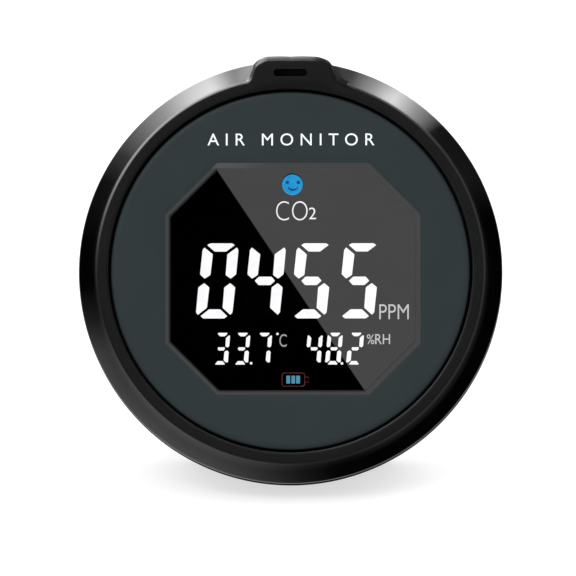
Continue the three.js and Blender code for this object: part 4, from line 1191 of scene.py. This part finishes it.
# Name, lettering, box (x0, x1, z0, z1), material, outline offset
LEGENDS = [
    ("co", "CO", (-2.7071, 3.2351, 9.6525, 13.2785), "legend", -0.22),
    ("2", "2", (3.4799, 4.8384, 9.8731, 12.0849), "legend", -0.06),
    ("ppm", "PPM", (16.7463, 22.3079, -9.0419, -6.2323), "legend_grey", -0.06),
    ("c", "C", (-2.0832, -0.6886, -14.2474, -11.8501), "legend_dim", -0.02),
    ("rh", "RH", (15.9709, 18.7797, -13.7438, -11.8579), "legend_grey", 0.0),
    ("percent", "%", (14.3880, 15.8212, -13.7424, -11.8930), "legend_grey", 0.0),
]
DEGREE_X, DEGREE_Z = -2.4415, -11.8013


def build_legends():
    for name, string, box, look, weight in LEGENDS:
        build_text("legend_" + name, string, box, LEGEND_Y, LEGEND_BACK, M[look], weight)
    degree = slabs("legend_degree", [circle(DEGREE_X, DEGREE_Z, 0.24, 20)], LEGEND_Y,
                   LEGEND_BACK, M["legend"], 0.01)
    place(degree)
    # plain wording printed on the plate
    build_text("plate_wording", "AIR MONITOR", (-15.6067, 15.8740, 23.6279, 25.9187),
               PLATE_Y - 0.03, PLATE_Y + 0.01, M["print"], 0.0,
               spread=True)


# ------------------------------------------------------------------ rear cover
def above(drop):
    """Half space over a level plane this far under the case axis."""

    def at(a, b):
        return (SIN_LEAN * drop + a * COS_LEAN - b * SIN_LEAN,
                -COS_LEAN * drop + a * SIN_LEAN + b * COS_LEAN)

    return prism([at(-120, 0), at(120, 0), at(120, 120), at(-120, 120)], -120, 120, "X")


def arc_slot(r, middle, half=0.7, spread=math.radians(24), n=40):
    """Slot of even width along an arc, with round ends."""
    angles = np.linspace(middle - spread, middle + spread, n)
    out = []
    for side, run, start in ((half, angles, 0), (-half, angles[::-1], math.pi)):
        out += [((r + side) * math.cos(t), (r + side) * math.sin(t)) for t in run]
        cx, cz = r * math.cos(run[-1]), r * math.sin(run[-1])
        for k in range(1, 8):
            t = run[-1] + start + math.pi * k / 8
            out.append((cx + half * math.cos(t), cz + half * math.sin(t)))
    return out


def pad(side, rows, name="tool", mats=(), n=48):
    """Turned disc square to the flat under the back: radius, height out of the flat."""
    y = 8.2
    centre = np.array([side * 9.3, y, (-FLAT + y * SIN_LEAN) / COS_LEAN])
    along = np.array([0, COS_LEAN, SIN_LEAN])
    out = np.array([0, SIN_LEAN, -COS_LEAN])
    a = np.linspace(0, 2 * math.pi, n, endpoint=False)
    loops = [centre + np.outer(np.cos(a) * r, [1, 0, 0]) + np.outer(np.sin(a) * r, along)
             + out * height for r, height in rows]
    return outward(grid(name, loops, mats, close_rows=False, caps=True))


# Sections of the cover: radius, y
COVER_FRONT = [(0, -2.9), (38.9, -2.9), (39.08, -2.86), (39.18, -2.75), (39.2, -2.6),
               (38.42, 11.6)]
COVER_HOLLOW = [(0, -4), (35.6, -4), (35.6, -1.6), (36.6, -0.6), (36.6, 10.6), (35.0, 12.2),
                (0, 12.2)]
COVER_TONGUE = [(35.6, -6), (37.15, -6), (37.15, -2.5), (35.6, -2.5)]


def cover_body():
    """Cup with a flat underneath, its tongue and the thicker middle of its back."""
    profile = list(COVER_FRONT)
    for k in range(1, 9):
        t = math.radians(90 * k / 8)
        profile.append((36.1 + 2.3 * math.cos(t), 11.7 + 2.3 * math.sin(t)))
    profile.append((0, 14))
    outer = lathe(profile, 256, name="rear_cover_shell")
    inside = outer.copy()
    inside.data = outer.data.copy()
    bpy.context.scene.collection.objects.link(inside)
    csg(outer, "INTERSECT", above(FLAT))
    csg(inside, "INTERSECT", above(FLAT))
    hollow = csg(lathe(COVER_HOLLOW, 128), "INTERSECT", above(34.4))
    csg(outer, "DIFFERENCE", hollow)
    csg(outer, "UNION", lathe(COVER_TONGUE, 160))
    housing = block(-14, 14, 9.6, 13.5, -40, 16.5)
    csg(housing, "UNION", block(-18, 18, 9.6, 13.5, -33.4, -21.5),
        block(-16.2, 16.2, 8.2, 13.5, 13.8, 24))
    csg(housing, "INTERSECT", inside)
    return csg(outer, "UNION", housing)


def build_cover():
    cover = cover_body()
    for x, z in POSTS:
        csg(cover, "UNION", cylinder(x, z, 3.3, -2.5, 13))
    # stand recess, hinge pockets, pin hole and the round cut across the lower end
    csg(cover, "DIFFERENCE",
        prism(round_rect(0, -20.9, 12.5, 37.1, 1.6), 11.2, 20),
        prism(round_rect(14.65, 17.55, 5, 1.85, 0.1, 2), -12.5, 12.5, "X"),
        block(-12.5, 12.5, 9.65, 20, 15.7, 19.4),
        block(-12.5, 12.5, 10.1, 20, 15.8, 22.3),
        cylinder(HINGE_Y, HINGE_Z, 1.12, -15.1, 17, "X", 32),
        cylinder(16.6, -27.5, 4.4, -16.5, 16.5, "X", 64))
    for x, z in POSTS:  # screw head wells and shank holes
        csg(cover, "DIFFERENCE", cylinder(x, z, 2.25, 3, 20),
            cylinder(x, z, 1.15, -8, 20, n=32))
    for middle in (0, math.pi):
        for r in range(20, 33, 3):
            csg(cover, "DIFFERENCE", prism(arc_slot(r, middle), 10, 20))
    # socket opening on the left, button opening on the right, wells for the foot pads
    csg(cover, "DIFFERENCE",
        prism(round_rect(-0.87, -2, 1.85, 4.75, 1.6), -45, -34.8, "X"),
        prism(round_rect(0.8, 0, 2.1, 6.1, 2.0), 35.9, 45, "X"),
        block(33, 36.0, -2.0, 3.6, -7.3, 7.3),
        *(pad(side, [(2.52, -1.0), (2.52, 3)]) for side in (-1, 1)))
    set_material(cover, M["cover"])
    place(cover, ["rear_cover"], sharp=24)


# -------------------------------------------------------------------- stand
STAND_HALF = 12.2
# Outline of the leg seen from the front, narrowing to the foot: x, z from the hinge
STAND_FACE = [(-12.2, 8), (-12.2, -42), (-11.5, -49.0), (-10.9, -50.4), (-10.2, -52),
              (10.2, -52), (10.9, -50.4), (11.5, -49.0), (12.2, -42), (12.2, 8)]


def build_stand():
    """Leg drawn about the hinge, cut off level with the foot pads."""
    swing = OPEN - LEAN
    hinge_height = FLAT + PAD_HEIGHT + (-HINGE_Y * SIN_LEAN + HINGE_Z * COS_LEAN)
    front, back = -0.4, 1.8

    def foot(y):
        return -(hinge_height + y * math.sin(swing)) / math.cos(swing)

    def from_case(y, z):
        return (y * math.cos(OPEN) + z * math.sin(OPEN),
                -y * math.sin(OPEN) + z * math.cos(OPEN))

    low, high = from_case(-1.66, 1.25), from_case(-1.66, 3.15)
    side = [(front, foot(front)), (front, -1.2), (-0.9, 0.4), low, high, (1.5, high[1]),
            (1.72, high[1] - 0.1), (back, high[1] - 0.35), (back, foot(back))]
    leg = prism(side, -STAND_HALF, STAND_HALF, "X", name="stand_leg_shell")
    csg(leg, "UNION", cylinder(0, 0, 2.0, -STAND_HALF, STAND_HALF, "X", 64))
    csg(leg, "INTERSECT", prism(STAND_FACE, -6, 6))
    # shallow panel in the back, round notch near the foot, pin hole
    csg(leg, "DIFFERENCE", prism(round_rect(0, -25, 8.2, 15.5, 3), 1.3, 5),
        prism(circle(0, foot(back) - 2.6, 5.2, 64), -5, 5),
        cylinder(0, 0, 1.15, -20, 20, "X", 40))
    # shallow ribs across the panel for grip
    for k in range(6):
        csg(leg, "UNION", prism(round_rect(0, -14 - 4.4 * k, 6.6, 0.45, 0.4, 4), 1.25, 1.62))
    set_material(leg, M["stand"])
    place(leg, ["stand_leg"], sharp=30, matrix=STAND, body="stand")


# -------------------------------------------------------------- small parts
# Rounded outer end of the button: x, inset
BUTTON_END = [(39.1, 0), (39.3, 0.04), (39.45, 0.13), (39.57, 0.28), (39.65, 0.5),
              (39.71, 0.8), (39.74, 1.2)]


def build_button():
    """Flange inside the case and a rounded cap through its right side."""
    half_y, half_z, corner = 1.9, 5.9, 1.88
    sections = [(34.9, 2.5, 6.9, 2.0), (35.6, 2.5, 6.9, 2.0), (35.61, half_y, half_z, corner)]
    sections += [(x, half_y - inset, half_z - inset, corner - inset)
                 for x, inset in BUTTON_END]
    rows = []
    for x, hy, hz, r in sections:
        points = np.array(round_rect(0.8, 0, hy, hz, r, 12))
        rows.append(np.stack([np.full(len(points), x), points[:, 0], points[:, 1]], 1))
    obj = grid("power_button_cap", rows, [M["button"]], close_rows=False, caps=True)
    place(obj, ["power_button"], sharp=35, body="button")


# Radius, height out of the flat
PAD_SECTION = [(2.4, -0.85), (2.4, 0.35), (2.36, 0.47), (2.26, 0.56), (2.12, PAD_HEIGHT),
               (1.5, PAD_HEIGHT), (1.42, 0.55), (1.2, 0.5), (0.6, 0.5)]


def build_pads():
    for name, side in (("foot_pad_left", -1), ("foot_pad_right", 1)):
        obj = pad(side, PAD_SECTION, name + "_shell", [M["rubber"]])
        place(obj, [name], sharp=40)


# Radius, y
SCREW_HEAD = [(0, 3.12), (1.86, 3.12), (1.9, 3.2), (1.9, 3.5), (1.8, 3.85), (1.55, 4.15),
              (1.1, 4.38), (0.5, 4.5), (0, 4.52)]
SCREW_SHANK = [(0, 3.5), (0.92, 3.5), (0.92, -8.4), (0.4, -9.2), (0, -9.2)]


def build_screws():
    """Domed screws with a cross recess, clockwise from the upper left."""
    for number, (sx, sz) in enumerate(((-1, 1), (1, 1), (1, -1), (-1, -1)), 1):
        name = f"case_screw_{number}"
        head = lathe(SCREW_HEAD, 48, name=name + "_shell")
        csg(head, "UNION", lathe(SCREW_SHANK, 24))
        csg(head, "DIFFERENCE", block(-1.15, 1.15, 3.8, 6, -0.2, 0.2),
            block(-0.2, 0.2, 3.8, 6, -1.15, 1.15))
        set_material(head, M["screw"])
        head.data.transform(Matrix.Translation((sx * SCREW_X, 0, sz * SCREW_Z)))
        place(head, [name], sharp=35)


build_bezel()
build_plate()
build_lens()
build_digits()
build_smiley()
build_battery()
build_legends()
build_cover()
build_stand()
build_button()
build_pads()
build_screws()

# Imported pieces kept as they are: piece, material
CAD_LOOKS = {
    "face_plate_tape": "tape", "display_mask": "mask", "segment_diffuser": "diffuser",
    "display_reflector": "reflector", "led_board": "led_board", "display_header": "nylon",
    "main_board": "board", "controller_chip": "chip", "display_driver_chip": "chip",
    "charger_chip": "chip", "power_inductor": "ferrite", "buzzer": "nylon",
    "humidity_sensor": "ceramic", "co2_sensor_header": "nylon",
    "co2_sensor_board": "board_blue", "co2_sensor_chamber": "gold",
    "co2_sensor_membrane": "membrane", "battery_tape": "tape", "battery_cell": "foil",
    "battery_connector": "ivory", "battery_lead_red": "wire_red",
    "battery_lead_black": "wire_black", "usb_receptacle": "nickel", "power_switch": "chip",
    "switch_plunger": "ivory", "vent_mesh_right": "mesh", "vent_mesh_left": "mesh",
    "stand_pin": "nickel",
}
for piece, look in CAD_LOOKS.items():
    set_material(frame["nodes"][piece], M[look])


# ----------------------------------------------------------------------- stage
def build_floor():
    """Pale floor that glows a little, so that it stays light under the case."""
    material, graph = new_material("studio_floor")
    tint = graph.mix(graph.noise(6, detail=2), (0.92, 0.92, 0.92, 1), (0.94, 0.94, 0.94, 1))
    surface = graph.add("AddShader", graph.add("BsdfDiffuse", Color=(0.42, 0.42, 0.42, 1)),
                        graph.add("Emission", Color=tint, Strength=0.68))
    graph.add("OutputMaterial", Surface=surface)
    material.cycles.emission_sampling = "NONE"
    corners = [(-6, -6, 0), (6, -6, 0), (6, 6, 0), (-6, 6, 0)]
    floor = new_object("studio_floor", corners, [(0, 1, 2, 3)], [material])
    floor.visible_glossy = False


def build_world():
    """White to the camera, the studio to glossy rays, a soft sky to all others."""
    world = bpy.data.worlds.new("studio")
    bpy.context.scene.world = world
    world.use_nodes = True
    graph = Graph(world.node_tree)
    direction = graph.add("TexCoord")["Generated"]
    white = (1, 1, 1, 1)
    rays = graph.add("LightPath")
    glossy = graph.add("Background", Color=white, Strength=studio_light(graph, direction))
    sky = graph.remap(graph.dot(direction, TO_UP), (-0.3, 1.0), (0.4, 2.1))
    diffuse = graph.add("Background", Color=white, Strength=sky)
    seen = graph.add("Background", Color=white, Strength=1.0)
    unseen = graph.add("MixShader", rays["Is Glossy Ray"], diffuse, glossy)
    surface = graph.add("MixShader", rays["Is Camera Ray"], unseen, seen)
    graph.add("OutputWorld", Surface=surface)
    world.cycles.sampling_method = "NONE"


def area_light(name, where, size, power, target=(0, 0, 0.04)):
    """Square light aimed at the case, left out of reflections; metres and watts."""
    light = bpy.data.lights.new(name, "AREA")
    light.shape = "RECTANGLE"
    light.size = size
    light.size_y = size
    light.energy = power
    obj = bpy.data.objects.new(name, light)
    bpy.context.scene.collection.objects.link(obj)
    obj.location = where
    aim_line = Vector(target) - Vector(where)
    obj.rotation_euler = aim_line.to_track_quat("-Z", "Y").to_euler()
    obj.visible_glossy = False


build_floor()
build_world()
area_light("key", where=(-0.45, -0.5, 0.75), size=0.35, power=2.0)
area_light("fill_back", where=(0.5, 0.6, 0.6), size=0.4, power=2.5)

view = bpy.context.scene.view_settings
view.view_transform = "Standard"
view.look = "None"
view.exposure = 0
view.gamma = 1
